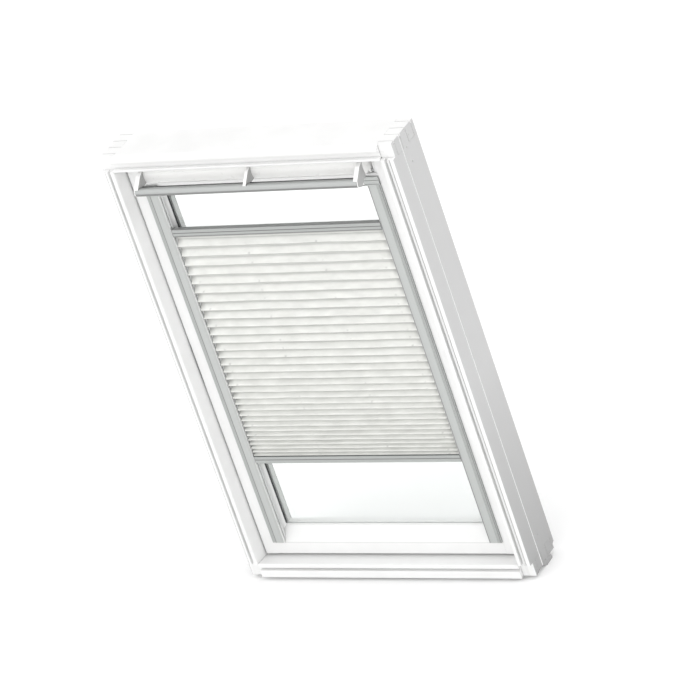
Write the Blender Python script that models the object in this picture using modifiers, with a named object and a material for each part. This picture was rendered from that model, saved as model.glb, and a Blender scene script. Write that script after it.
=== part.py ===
"""Centre-pivot roof window with a pleated blind on its sash.

Metres. X runs across the window, Z up along it, and Y from the room (-Y) out to the
weather (+Y). The origin is the middle of the flat ridge under the bottom member.
Outlines give depth, measured outward from the front of the frame's corner blocks.
"""
import math

import bmesh
import bpy
from mathutils import Matrix

# Clearance between touching pieces, and how far a cutter runs past what it cuts
FIT = 0.0003
CUT_PAST = 0.002

# Outer frame of painted wood
FRAME_WIDTH = 0.780
FRAME_HEIGHT = 1.178
FRAME_DEPTH = 0.112
LIP_PROUD = 0.013
LIP_SETBACK = 0.002
LIP_STEP = 0.0115
LIP_STEP_DROP = 0.0008
LIP_QUIRK_WIDTH = 0.0012
LIP_QUIRK_DEEP = 0.0022
GROOVE_DEEP = 0.011
SIDE_THICK = 0.0395
SIDE_THICK_FRONT = 0.034
SIDE_TAPER_END = 0.023
SIDE_LIP = 0.0175
SIDE_GROOVE = 0.007
TOP_THICK = 0.037
TOP_LIP = 0.0115
TOP_GROOVE = 0.019
TOP_FALL = 0.0028
BOTTOM_THICK = 0.0385
BOTTOM_LIP = 0.020
BOTTOM_GROOVE = 0.008
MOULD_ROUND = 0.003
EDGE_ROUND = 0.0012

# Underside of the frame: the ridge that it rests on, a hollow, and a rebate behind
RIDGE_HEIGHT = 0.008
RIDGE_FRONT = 0.055
RIDGE_WIDTH = 0.030
HOLLOW_RUN = 0.025
HOLLOW_RISE = 0.006
HOLLOW_KNEE_RISE = 0.001
UNDERCUT = 0.006
UNDERCUT_RISE = 0.0075
BACK_REBATE = 0.008
BACK_REBATE_RISE = 0.018

# Comb joints at the corners, and the groove routed along the outer sides
FIRST_FINGER = 0.0135
FINGER_PITCH = 0.0285
COMB_GROOVE_WIDTH = 0.0016
COMB_GROOVE_DEEP = 0.0045
COMB_NOTCH = 0.0032
COMB_NOTCH_HALF = 0.0070
COMB_NOTCH_TALL = 0.006
SIDE_BEAD_DEPTH = 0.0365
SIDE_BEAD_WIDTH = 0.003
SIDE_BEAD_DEEP = 0.0012
SIDE_BEAD_MARGIN = 0.003

# Pilot holes for the fixing brackets on the outer sides, as depth and distance from an end
PILOT_RADIUS = 0.0018
PILOT_DEEP = 0.006
PILOTS_FROM_TOP = ((0.0755, 0.022), (0.054, 0.0415), (0.0595, 0.081))
PILOTS_FROM_BOTTOM = ((0.055, 0.087), (0.054, 0.016))

# Sash of painted wood
SASH_GAP_SIDE = 0.005
SASH_GAP_TOP = 0.006
SASH_GAP_BOTTOM = 0.007
SASH_FRONT = 0.023
SASH_THICK = 0.061
SASH_FACE = 0.0315
SLOPE_RUN = 0.036
SLOPE_DEPTH = 0.022
SLOPE_TIP = 0.001
GLASS_REBATE = 0.015
SASH_TOP_HEIGHT = 0.087

# Insulating glass unit and what holds it
PANE = 0.004
PANE_GAP = 0.014
PANE_EDGE_GAP = 0.003
GASKET_THICK = 0.0019
GASKET_SHOWS = 0.0025
SPACER_SHOWS = 0.006
SPACER_EDGE_GAP = 0.003
COVER_SHEET = 0.0015
SASH_COVER_LAP = 0.006

# Pivot hinges at mid height
PIVOT_HEIGHT = 0.593
PIVOT_DEPTH = 0.040
PIN_RADIUS = 0.006
PIN_REACH = 0.012
PIN_PLAY = 0.0003
HINGE_RECESS = 0.003
FRAME_PLATE_LENGTH = 0.120
SASH_PLATE_LENGTH = 0.160
HINGE_PLATE_WIDTH = 0.024
HINGE_PLATE_ROUND = 0.0096

# Ventilation flap in front of the sash's top rail
VENT_SHELF_DROP = 0.045
VENT_BACK = 0.019
FLAP_INSET = 0.016
FLAP_FRONT = 0.001
FLAP_BULGE = 0.004
FLAP_TOP_ROUND = 0.0012
FLAP_BOTTOM_ROUND = 0.0024
FLAP_HEIGHT = 0.0355
FLAP_RISE = 0.002
FLAP_BACK_GAP = 0.0015
FLAP_WALL = 0.0025
FLAP_END = 0.004
FLAP_END_GAP = 0.0045
FLAP_PIVOT_UP = 0.006
FLAP_PIVOT_BACK = 0.012
FLAP_LUG_RADIUS = 0.005
FLAP_PIN_RADIUS = 0.0025
FLAP_PIN_SEAT = 0.009
VENT_SLOT_INNER = 0.050
VENT_SLOT_INSET = 0.023
VENT_SLOT_HEIGHT = 0.018
VENT_SLOT_UP = 0.018
FILTER_INSET = 0.003

# Control bar and its brackets
BAR_REACH = 0.0432
BAR_DEPTH = 0.0262
BAR_HEIGHT = 0.0099
BAR_RIM = 0.0035
BAR_RIM_WIDTH = 0.0012
BAR_WALL = 0.002
BAR_RAKE = 0.0025
BAR_GRIP = 0.0045
BAR_ROUND = 0.003
BAR_ARCH = 0.0068
BAR_ARCH_WIDTH = 0.0225
BRACKET_WIDTH = 0.011
BRACKET_MIDDLE_WIDTH = 0.008
BRACKET_FOOT = 0.002
BRACKET_TOP = 0.0335
BRACKET_CROWN_GAP = 0.00045
BRACKET_SHOULDER = (0.030, 0.0285)
BRACKET_NOSE_BACK = 0.0042
BRACKET_NOSE_UP = 0.0072
BRACKET_NOSE_ROUND = 0.0015
BRACKET_END = 0.0025
END_PLATE_LAP = 0.0004
END_PLATE_NOSE_DROP = 0.0074
END_PLATE_CHIN = 0.005
END_PLATE_CHIN_BACK = 0.0095
END_PLATE_ROUND = 0.006

# Lock in the middle of the sash's top rail
BOLT_WIDTH = 0.024
BOLT_THICK = 0.010
BOLT_LENGTH = 0.022
BOLT_DEPTH = 0.062
BOLT_BELOW_TOP = 0.001
BOLT_TRAVEL = 0.014
BOLT_EDGE = 0.001
BOLT_PLAY = 0.00045
LOCK_WIDTH = 0.068
LOCK_WALL = 0.006
LOCK_FLOOR = 0.010
STRIKER_WIDTH = 0.080
STRIKER_THICK = 0.0012
STRIKER_MARGIN = 0.005
STRIKER_PLAY = 0.0009

# Rubber seal in the gap between frame and sash
SEAL_DEPTH = 0.076
SEAL_WIDTH = 0.006
SEAL_SASH_GAP = 0.0008
SEAL_TOP_GAP = 0.0026
SEAL_BOTTOM_GAP = 0.0022

# Aluminium covers on the frame's weather side
COVER_RISE = 0.012
COVER_OUTER_INSET = 0.010
COVER_INNER_INSET = 0.002
COVER_FOOT = 0.035
CASING_LOW = 0.013
CASING_TOP_INSET = 0.010

# Aluminium side channels of the blind
CHANNEL_WIDTH = 0.0325
CHANNEL_FACE_GAP = 0.0005
CHANNEL_PROUD = 0.005
CHANNEL_DEPTH = 0.014
CHANNEL_WALL = 0.002
CHANNEL_LIP = 0.0015
CHANNEL_FOOT = 0.0025
CHANNEL_REACH = 0.015
CHANNEL_MOUTH = 0.0024
CHANNEL_LOW = 0.0345
CHANNEL_TOP_ABOVE_GLASS = 0.0145
CHANNEL_RIDGE_PITCH = 0.003
CHANNEL_RIDGES = 3
CHANNEL_RIDGE_DEEP = 0.0009
CAP_HEIGHT = 0.022
CAP_LAP = 0.007
CAP_RIB_WIDTH = 0.0028
CAP_RIB_PROUD = 0.0012
CAP_RIBS = 3

# Pleated blind
BLIND_DROP = 0.0833
BLIND_LENGTH = 0.6487
TOP_RAIL_HEIGHT = 0.0202
BOTTOM_RAIL_HEIGHT = 0.021
RAIL_END_GAP = 0.0013
RAIL_WALL = 0.0014
RAIL_GROOVE = 0.0008
RAIL_GROOVE_OFF = 0.0115
RAIL_RECESS = 0.003
SLIDER_PLAY = 0.0005
SLIDER_NECK = 0.0016
SLIDER_INSET = 0.001
SLIDER_PLUG = 0.015
PLEATS = 32
PLEAT_PANEL = 0.016
PLEAT_LEAST_DEPTH = 0.004
PLEAT_TIGHTENING = 0.618
PLEAT_TIGHTENING_POWER = 1.25
FABRIC_WALL = 0.001
FABRIC_SIDE_GAP = 0.0006

# Places worked out from the sizes above
FRAME_SIDE = FRAME_WIDTH / 2
FRAME_SIDE_INNER = FRAME_SIDE - SIDE_THICK
FRAME_TOP_INNER = FRAME_HEIGHT - TOP_THICK
FRAME_BOTTOM_INNER = RIDGE_HEIGHT + BOTTOM_THICK
SEAT_DEPTH = RIDGE_FRONT + RIDGE_WIDTH / 2
SASH_SIDE = FRAME_SIDE_INNER - SASH_GAP_SIDE
SASH_TOP = FRAME_TOP_INNER - SASH_GAP_TOP
SASH_BOTTOM = FRAME_BOTTOM_INNER + SASH_GAP_BOTTOM
SASH_BACK = SASH_FRONT + SASH_THICK
FACE_INNER = SASH_SIDE - SASH_FACE
GLASS_SIDE = FACE_INNER - SLOPE_RUN
GLASS_BOTTOM = SASH_BOTTOM + SASH_FACE + SLOPE_RUN
GLASS_TOP = SASH_TOP - SASH_TOP_HEIGHT
TIP_DEPTH = SASH_FRONT + SLOPE_DEPTH
REBATE_DEPTH = TIP_DEPTH + SLOPE_TIP
INNER_PANE_DEPTH = REBATE_DEPTH + GASKET_THICK + 2 * FIT
SPACER_DEPTH = INNER_PANE_DEPTH + PANE + FIT
OUTER_PANE_DEPTH = SPACER_DEPTH + PANE_GAP + FIT
SHELF = SASH_TOP - VENT_SHELF_DROP
VENT_WALL_DEPTH = SASH_FRONT + VENT_BACK
FLAP_TOP = SASH_TOP + FLAP_RISE
FLAP_BOTTOM = FLAP_TOP - FLAP_HEIGHT
FLAP_BACK = VENT_WALL_DEPTH - FLAP_BACK_GAP
FLAP_SIDE = FACE_INNER - FLAP_INSET
FLAP_PIVOT_DEPTH = VENT_WALL_DEPTH - FLAP_PIVOT_BACK
FLAP_PIVOT_HEIGHT = SHELF + FLAP_PIVOT_UP
VENT_SLOT_OUTER = GLASS_SIDE - VENT_SLOT_INSET
BAR_FRONT = -BAR_REACH
BAR_BACK = BAR_FRONT + BAR_DEPTH
BAR_TOP = FLAP_BOTTOM
CHANNEL_OUTER = FACE_INNER - CHANNEL_FACE_GAP
CHANNEL_INNER = CHANNEL_OUTER - CHANNEL_WIDTH
CHANNEL_FRONT = SASH_FRONT - CHANNEL_PROUD
CHANNEL_BACK = CHANNEL_FRONT + CHANNEL_DEPTH
CHANNEL_TOP = GLASS_TOP + CHANNEL_TOP_ABOVE_GLASS
CHANNEL_BOTTOM = SASH_BOTTOM + CHANNEL_LOW
RAIL_SIDE = CHANNEL_INNER - RAIL_END_GAP
RAIL_MOUTH = FABRIC_WALL + 2 * FIT
BLIND_TOP = GLASS_TOP - BLIND_DROP
FABRIC_TOP = BLIND_TOP - TOP_RAIL_HEIGHT
BLIND_BOTTOM = BLIND_TOP - BLIND_LENGTH
FABRIC_BOTTOM = BLIND_BOTTOM + BOTTOM_RAIL_HEIGHT

# Colour, roughness and metallic value of each finish
FINISHES = {
    "white paint": ((0.84, 0.84, 0.83), 0.38, 0.0),
    "cream plastic": ((0.83, 0.82, 0.79), 0.34, 0.0),
    "aluminium": ((0.56, 0.57, 0.58), 0.36, 0.9),
    "steel": ((0.50, 0.50, 0.50), 0.32, 1.0),
    "grey sheet": ((0.18, 0.19, 0.20), 0.45, 0.6),
    "glass": ((0.93, 0.95, 0.97), 0.04, 0.0),
    "rubber": ((0.06, 0.06, 0.065), 0.7, 0.0),
    "foam": ((0.20, 0.20, 0.21), 0.95, 0.0),
    "blind fabric": ((0.80, 0.81, 0.76), 0.85, 0.0),
}

for leftover in list(bpy.data.objects):
    bpy.data.objects.remove(leftover)

window = bpy.data.collections.new("roof window with pleated blind")
bpy.context.scene.collection.children.link(window)
cutters = bpy.data.collections.new("cutters")
bpy.context.scene.collection.children.link(cutters)


def finish_of(name, kind):
    colour, roughness, metallic = FINISHES[kind]
    finish = bpy.data.materials.new(f"{name} {kind}")
    finish.use_nodes = True
    shader = finish.node_tree.nodes["Principled BSDF"]
    shader.inputs["Base Color"].default_value = (*colour, 1.0)
    shader.inputs["Roughness"].default_value = roughness
    shader.inputs["Metallic"].default_value = metallic
    return finish


def new_object(name, mesh, kind):
    """Put a mesh in the scene as a piece with a finish or, without one, as a cutter."""
    piece = bpy.data.objects.new(name, mesh)
    if kind is None:
        cutters.objects.link(piece)
        piece.hide_render = True
        piece.display_type = "WIRE"
    else:
        window.objects.link(piece)
        mesh.materials.append(finish_of(name, kind))
    return piece


def extruded(name, outlines, axis, start, end, kind=None):
    """Run filled outlines along an axis: (depth, z) along X, (x, depth) along Z, (x, z) along Y."""
    curve = bpy.data.curves.new(name, "CURVE")
    curve.dimensions = "2D"
    curve.fill_mode = "BOTH"
    curve.extrude = (end - start) / 2
    for outline in outlines:
        spline = curve.splines.new("POLY")
        spline.points.add(len(outline) - 1)
        for point, (across, up) in zip(spline.points, outline):
            point.co = (across, up, 0.0, 1.0)
        spline.use_cyclic_u = True
    guide = bpy.data.objects.new(name + " outline", curve)
    bpy.context.scene.collection.objects.link(guide)
    evaluated = guide.evaluated_get(bpy.context.evaluated_depsgraph_get())
    mesh = bpy.data.meshes.new_from_object(evaluated)
    bpy.data.objects.remove(guide)
    solid = bmesh.new()
    solid.from_mesh(mesh)
    bmesh.ops.remove_doubles(solid, verts=solid.verts, dist=1e-6)
    bmesh.ops.recalc_face_normals(solid, faces=solid.faces)
    solid.to_mesh(mesh)
    solid.free()
    mesh.name = name
    mesh.materials.clear()
    piece = new_object(name, mesh, kind)
    middle = (start + end) / 2
    if axis == "X":
        turn = Matrix(((0, 0, 1), (1, 0, 0), (0, 1, 0)))
        piece.location = (middle, -SEAT_DEPTH, 0.0)
    elif axis == "Y":
        turn = Matrix(((1, 0, 0), (0, 0, -1), (0, 1, 0)))
        piece.location = (0.0, middle - SEAT_DEPTH, 0.0)
    else:
        turn = Matrix.Identity(3)
        piece.location = (0.0, -SEAT_DEPTH, middle)
    piece.rotation_euler = turn.to_euler()
    return piece


def block(name, x_range, depth_range, z_range, kind=None):
    """A rectangular block between two limits on each axis."""
    solid = bmesh.new()
    bmesh.ops.create_cube(solid, size=1.0)
    spans = [high - low for low, high in (x_range, depth_range, z_range)]
    bmesh.ops.scale(solid, vec=spans, verts=solid.verts)
    mesh = bpy.data.meshes.new(name)
    solid.to_mesh(mesh)
    solid.free()
    piece = new_object(name, mesh, kind)
    middles = [(low + high) / 2 for low, high in (x_range, depth_range, z_range)]
    piece.location = (middles[0], middles[1] - SEAT_DEPTH, middles[2])
    return piece


def round_bar(name, radius, x_range, depth, height, kind=None, segments=24):
    """A round bar along X."""
    solid = bmesh.new()
    bmesh.ops.create_cone(
        solid,
        cap_ends=True,
        segments=segments,
        radius1=radius,
        radius2=radius,
        depth=x_range[1] - x_range[0],
    )
    mesh = bpy.data.meshes.new(name)
    solid.to_mesh(mesh)
    solid.free()
    mesh.shade_smooth()
    mesh.set_sharp_from_angle(angle=math.radians(40))
    piece = new_object(name, mesh, kind)
    piece.rotation_euler = (0.0, math.pi / 2, 0.0)
    piece.location = (sum(x_range) / 2, depth - SEAT_DEPTH, height)
    return piece


def combine(piece, tool, operation):
    step = piece.modifiers.new(f"{operation.lower()} {tool.name}", "BOOLEAN")
    step.operation = operation
    step.solver = "EXACT"
    step.object = tool


def cut(piece, *tools):
    for tool in tools:
        combine(piece, tool, "DIFFERENCE")


def sided(side, low, high):
    """A range of x on the right side (+1), or its mirror image on the left (-1)."""
    return tuple(sorted((side * low, side * high)))


def mirrored(side, outline):
    return [(side * x, depth) for x, depth in outline]


def rounded(outline, radii, steps=2):
    """Round chosen corners of an outline, given as {corner number: radius}."""
    result = []
    count = len(outline)
    for number, corner in enumerate(outline):
        radius = radii.get(number, 0.0)
        if radius <= 0.0:
            result.append(corner)
            continue
        before = outline[number - 1]
        after = outline[(number + 1) % count]
        reach_in = math.hypot(before[0] - corner[0], before[1] - corner[1])
        reach_out = math.hypot(after[0] - corner[0], after[1] - corner[1])
        to_before = [(before[k] - corner[k]) / reach_in for k in range(2)]
        to_after = [(after[k] - corner[k]) / reach_out for k in range(2)]
        turn = math.acos(to_before[0] * to_after[0] + to_before[1] * to_after[1])
        radius = min(radius, 0.45 * min(reach_in, reach_out) * math.tan(turn / 2))
        setback = radius / math.tan(turn / 2)
        first = [corner[k] + to_before[k] * setback for k in range(2)]
        last = [corner[k] + to_after[k] * setback for k in range(2)]
        bisector = [to_before[k] + to_after[k] for k in range(2)]
        scale = radius / math.sin(turn / 2) / math.hypot(*bisector)
        centre = [corner[k] + bisector[k] * scale for k in range(2)]
        start = math.atan2(first[1] - centre[1], first[0] - centre[0])
        end = math.atan2(last[1] - centre[1], last[0] - centre[0])
        sweep = (end - start + math.pi) % (2 * math.pi) - math.pi
        for step in range(steps + 1):
            angle = start + sweep * step / steps
            x = centre[0] + radius * math.cos(angle)
            y = centre[1] + radius * math.sin(angle)
            result.append((x, y))
    return result


def rectangle(low_across, high_across, low_up, high_up):
    return [(low_across, low_up), (high_across, low_up), (high_across, high_up), (low_across, high_up)]


def pivot(name, depth, height, parent=None):
    """An empty on a joint's axis, which carries the pieces that move there."""
    empty = bpy.data.objects.new(name, None)
    window.objects.link(empty)
    empty.location = (0.0, depth - SEAT_DEPTH, height)
    if parent is not None:
        carry(parent, empty)
    return empty


def carry(carrier, *pieces):
    bpy.context.view_layer.update()
    for piece in pieces:
        piece.parent = carrier
        piece.matrix_parent_inverse = carrier.matrix_world.inverted()


def frame_inner_at(depth):
    """Distance from the middle to a side member's inner face, which tapers at the front."""
    if depth >= SIDE_TAPER_END:
        return FRAME_SIDE_INNER
    share = (SIDE_TAPER_END - depth) / (SIDE_TAPER_END + LIP_PROUD)
    return FRAME_SIDE_INNER + share * (SIDE_THICK - SIDE_THICK_FRONT)


def underside():
    """The frame's underside from its front to its back, as depth and height."""
    ridge_back = RIDGE_FRONT + RIDGE_WIDTH
    return [
        (0.0, RIDGE_HEIGHT),
        (RIDGE_FRONT - HOLLOW_RUN, RIDGE_HEIGHT + HOLLOW_RISE),
        (RIDGE_FRONT - HOLLOW_RUN / 2, RIDGE_HEIGHT + HOLLOW_KNEE_RISE),
        (RIDGE_FRONT, 0.0),
        (ridge_back, 0.0),
        (ridge_back, RIDGE_HEIGHT + UNDERCUT_RISE - UNDERCUT),
        (ridge_back - UNDERCUT, RIDGE_HEIGHT + UNDERCUT_RISE),
        (FRAME_DEPTH - BACK_REBATE, RIDGE_HEIGHT + UNDERCUT_RISE),
        (FRAME_DEPTH - BACK_REBATE, RIDGE_HEIGHT + BACK_REBATE_RISE),
        (FRAME_DEPTH, RIDGE_HEIGHT + BACK_REBATE_RISE + BACK_REBATE / 2),
    ]


def comb_edges():
    return [FIRST_FINGER + number * FINGER_PITCH for number in range(4)]


def comb_grooves(surface, outward=1):
    """Vees cut along the comb's joints into a surface, as depth and place across the surface."""
    reach = COMB_GROOVE_WIDTH / 2 * (COMB_GROOVE_DEEP + CUT_PAST) / COMB_GROOVE_DEEP
    root = surface - outward * COMB_GROOVE_DEEP
    mouth = surface + outward * CUT_PAST
    return [[(edge, root), (edge + reach, mouth), (edge - reach, mouth)] for edge in comb_edges()]


def comb_notches(side):
    """Outlines, as (x, depth), of the notches in the arris where the comb's grooves turn down."""
    root = FRAME_SIDE - COMB_NOTCH
    mouth = FRAME_SIDE + CUT_PAST
    narrow = COMB_GROOVE_WIDTH
    wide = COMB_NOTCH_HALF
    outlines = []
    for edge in comb_edges():
        outline = [(root, edge - narrow), (root, edge + narrow), (mouth, edge + wide), (mouth, edge - wide)]
        outlines.append(mirrored(side, outline))
    return outlines


def pilot_holes(side, word, places):
    """Cutters for pilot holes in an outer side, at (depth, height) places."""
    across = sided(side, FRAME_SIDE - PILOT_DEEP, FRAME_SIDE + CUT_PAST)
    holes = []
    for number, (depth, height) in enumerate(places):
        name = f"pilot hole {number} on the {word}"
        holes.append(round_bar(name, PILOT_RADIUS, across, depth, height, segments=10))
    return holes


def side_member_outline():
    front = -LIP_PROUD
    floor = front + GROOVE_DEEP
    lip_inner = FRAME_SIDE - SIDE_LIP
    mould_outer = lip_inner - SIDE_GROOVE
    outline = [
        (FRAME_SIDE, FRAME_DEPTH),
        (FRAME_SIDE, front + LIP_STEP_DROP),
        (FRAME_SIDE - LIP_STEP + LIP_QUIRK_WIDTH, front + LIP_STEP_DROP),
        (FRAME_SIDE - LIP_STEP + LIP_QUIRK_WIDTH, front + LIP_QUIRK_DEEP),
        (FRAME_SIDE - LIP_STEP, front + LIP_QUIRK_DEEP),
        (FRAME_SIDE - LIP_STEP, front),
        (lip_inner, front),
        (lip_inner, floor),
        (mould_outer, floor),
        (mould_outer, front),
        (FRAME_SIDE - SIDE_THICK_FRONT, front),
        (FRAME_SIDE_INNER, SIDE_TAPER_END),
        (FRAME_SIDE_INNER, FRAME_DEPTH),
    ]
    return rounded(outline, {1: EDGE_ROUND, 6: EDGE_ROUND / 2, 9: EDGE_ROUND / 2, 10: MOULD_ROUND})


def make_frame():
    front = -LIP_PROUD
    floor = front + GROOVE_DEEP
    edges = comb_edges()
    half_fit = FIT / 2

    top_outline = rounded(
        [
            (FRAME_DEPTH, FRAME_HEIGHT),
            (CUT_PAST, FRAME_HEIGHT),
            (front, FRAME_HEIGHT - TOP_FALL),
            (front, FRAME_HEIGHT - TOP_LIP),
            (floor, FRAME_HEIGHT - TOP_LIP),
            (floor, FRAME_HEIGHT - TOP_LIP - TOP_GROOVE),
            (front, FRAME_HEIGHT - TOP_LIP - TOP_GROOVE),
            (front, FRAME_TOP_INNER),
            (FRAME_DEPTH, FRAME_TOP_INNER),
        ],
        {2: EDGE_ROUND, 3: EDGE_ROUND / 2, 6: EDGE_ROUND / 2, 7: MOULD_ROUND},
    )
    top = extruded("frame_top", [top_outline], "X", -FRAME_SIDE, FRAME_SIDE, "white paint")

    bottom_front = rounded(
        [
            (FRAME_DEPTH, FRAME_BOTTOM_INNER),
            (front, FRAME_BOTTOM_INNER),
            (front, RIDGE_HEIGHT + BOTTOM_LIP + BOTTOM_GROOVE),
            (floor, RIDGE_HEIGHT + BOTTOM_LIP + BOTTOM_GROOVE),
            (floor, RIDGE_HEIGHT + BOTTOM_LIP),
            (front, RIDGE_HEIGHT + BOTTOM_LIP),
            (front, RIDGE_HEIGHT),
        ]
        + underside(),
        {1: MOULD_ROUND, 2: EDGE_ROUND / 2, 5: EDGE_ROUND / 2, 6: EDGE_ROUND},
    )
    bottom = extruded("frame_bottom", [bottom_front], "X", -FRAME_SIDE, FRAME_SIDE, "white paint")

    top_slots = FRAME_TOP_INNER - FIT
    bottom_slots = FRAME_BOTTOM_INNER + FIT
    above = FRAME_HEIGHT + CUT_PAST
    slots = [
        rectangle(front - CUT_PAST, 0.0, FRAME_TOP_INNER + LIP_SETBACK, above),
        rectangle(edges[0] - half_fit, edges[1] + half_fit, top_slots, above),
        rectangle(edges[2] - half_fit, edges[3] + half_fit, top_slots, above),
        rectangle(front - CUT_PAST, 0.0, -CUT_PAST, FRAME_BOTTOM_INNER - LIP_SETBACK),
        rectangle(edges[0] - half_fit, edges[1] + half_fit, -CUT_PAST, bottom_slots),
        rectangle(edges[2] - half_fit, edges[3] + half_fit, -CUT_PAST, bottom_slots),
    ]
    slot_cutter = extruded("corner slots", slots, "X", -FRAME_SIDE - CUT_PAST, FRAME_SIDE + CUT_PAST)
    below = underside() + [
        (FRAME_DEPTH + CUT_PAST, underside()[-1][1] + CUT_PAST / 2),
        (FRAME_DEPTH + CUT_PAST, -CUT_PAST),
        (-CUT_PAST, -CUT_PAST),
        (-CUT_PAST, RIDGE_HEIGHT),
    ]
    below_cutter = extruded("under the frame", [below], "X", -FRAME_SIDE - CUT_PAST, FRAME_SIDE + CUT_PAST)

    fingers = [(front - CUT_PAST, edges[0]), (edges[1], edges[2]), (edges[3], FRAME_DEPTH + CUT_PAST)]
    bead_low = FRAME_BOTTOM_INNER - SIDE_BEAD_MARGIN
    bead_high = FRAME_HEIGHT - SIDE_BEAD_MARGIN
    for side, word in ((-1, "left"), (1, "right")):
        member = extruded(
            f"frame_{word}", [mirrored(side, side_member_outline())], "Z", 0.0, FRAME_HEIGHT, "white paint"
        )
        tongues = []
        for low, high in fingers:
            low -= half_fit
            high += half_fit
            tongue = [
                (frame_inner_at(low) - FIT, low),
                (frame_inner_at(high) - FIT, high),
                (FRAME_SIDE + CUT_PAST, high),
                (FRAME_SIDE + CUT_PAST, low),
            ]
            tongues.append(mirrored(side, tongue))
        comb = extruded(f"comb of the {word} member", tongues, "Z", -CUT_PAST, above)
        bead = block(
            f"groove on the {word} side",
            sided(side, FRAME_SIDE - SIDE_BEAD_DEEP, FRAME_SIDE + CUT_PAST),
            (SIDE_BEAD_DEPTH - SIDE_BEAD_WIDTH / 2, SIDE_BEAD_DEPTH + SIDE_BEAD_WIDTH / 2),
            (bead_low, bead_high),
        )
        recess = extruded(
            f"hinge recess of the {word} member",
            [hinge_plate_outline(FRAME_PLATE_LENGTH, FIT)],
            "X",
            *sided(side, FRAME_SIDE_INNER - CUT_PAST, FRAME_SIDE_INNER + HINGE_RECESS),
        )
        across_top = extruded(
            f"grooves over the {word} comb",
            comb_grooves(FRAME_HEIGHT),
            "X",
            *sided(side, FRAME_SIDE_INNER + FIT, FRAME_SIDE + CUT_PAST),
        )
        down_side = [
            [(x, depth) for depth, x in groove] for groove in comb_grooves(side * FRAME_SIDE, side)
        ]
        beside_top = extruded(
            f"grooves beside the {word} top comb", down_side, "Z", FRAME_TOP_INNER + FIT, above
        )
        beside_bottom = extruded(
            f"grooves beside the {word} bottom comb", down_side, "Z", -CUT_PAST, FRAME_BOTTOM_INNER - FIT
        )
        notches = extruded(
            f"notches over the {word} comb", comb_notches(side), "Z", FRAME_HEIGHT - COMB_NOTCH_TALL, above
        )
        high_pilots = pilot_holes(
            side, f"upper {word}", [(depth, FRAME_HEIGHT - drop) for depth, drop in PILOTS_FROM_TOP]
        )
        low_pilots = pilot_holes(side, f"lower {word}", PILOTS_FROM_BOTTOM)
        cut(member, slot_cutter, below_cutter, recess, bead)
        cut(member, across_top, beside_top, beside_bottom, notches, *high_pilots, *low_pilots)
        cut(top, comb, bead, across_top, beside_top, *high_pilots)
        cut(bottom, comb, bead, beside_bottom, *low_pilots)

    bolt_hole = block(
        "striker hole",
        (-BOLT_WIDTH / 2 - STRIKER_PLAY, BOLT_WIDTH / 2 + STRIKER_PLAY),
        (BOLT_DEPTH - BOLT_THICK / 2 - STRIKER_PLAY, BOLT_DEPTH + BOLT_THICK / 2 + STRIKER_PLAY),
        (FRAME_TOP_INNER - SASH_GAP_TOP, SASH_TOP - BOLT_BELOW_TOP + BOLT_TRAVEL + CUT_PAST),
    )
    cut(top, bolt_hole)
    striker = block(
        "striker_plate",
        (-STRIKER_WIDTH / 2, STRIKER_WIDTH / 2),
        (
            BOLT_DEPTH - BOLT_THICK / 2 - STRIKER_MARGIN,
            BOLT_DEPTH + BOLT_THICK / 2 + STRIKER_MARGIN,
        ),
        (FRAME_TOP_INNER - FIT - STRIKER_THICK, FRAME_TOP_INNER - FIT),
        "steel",
    )
    cut(striker, bolt_hole)

    seal_outer = rectangle(
        -FRAME_SIDE_INNER + FIT, FRAME_SIDE_INNER - FIT, FRAME_BOTTOM_INNER + FIT, FRAME_TOP_INNER - FIT
    )
    seal_inner = rectangle(
        -SASH_SIDE - SEAL_SASH_GAP,
        SASH_SIDE + SEAL_SASH_GAP,
        SASH_BOTTOM - SEAL_BOTTOM_GAP,
        SASH_TOP + SEAL_TOP_GAP,
    )
    extruded("frame_seal", [seal_outer, seal_inner], "Y", SEAL_DEPTH, SEAL_DEPTH + SEAL_WIDTH, "rubber")


def hinge_plate_outline(length, grow=0.0):
    """A plate with round ends, about the pivot."""
    half = HINGE_PLATE_WIDTH / 2 + grow
    reach = length / 2 + grow
    outline = rectangle(
        PIVOT_DEPTH - half, PIVOT_DEPTH + half, PIVOT_HEIGHT - reach, PIVOT_HEIGHT + reach
    )
    return rounded(outline, dict.fromkeys(range(4), HINGE_PLATE_ROUND + grow), steps=3)


def u_cover(low, high, base, wall):
    """A folded sheet channel, open toward the frame, as (across, depth)."""
    web = base + COVER_RISE
    return [
        (low, base),
        (low, web),
        (high, web),
        (high, base),
        (high - wall, base),
        (high - wall, web - wall),
        (low + wall, web - wall),
        (low + wall, base),
    ]


def make_weather_covers():
    base = FRAME_DEPTH + FIT
    cover_inner = FRAME_SIDE_INNER + COVER_INNER_INSET
    cover_outer = FRAME_SIDE - COVER_OUTER_INSET
    casing_low = FRAME_TOP_INNER - CASING_LOW
    for side, word in ((-1, "left"), (1, "right")):
        outline = mirrored(side, u_cover(cover_inner, cover_outer, base, COVER_SHEET))
        extruded(f"frame_cover_{word}", [outline], "Z", COVER_FOOT, casing_low - FIT, "grey sheet")
    across = u_cover(casing_low, FRAME_HEIGHT - CASING_TOP_INSET, base, COVER_SHEET)
    casing = [(depth, height) for height, depth in across]
    extruded("top_casing", [casing], "X", -cover_outer, cover_outer, "grey sheet")
    across = u_cover(COVER_FOOT, FRAME_BOTTOM_INNER - FIT, base, COVER_SHEET)
    sill = [(depth, height) for height, depth in across]
    extruded("sill_cover", [sill], "X", -cover_inner + FIT, cover_inner - FIT, "grey sheet")


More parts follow.
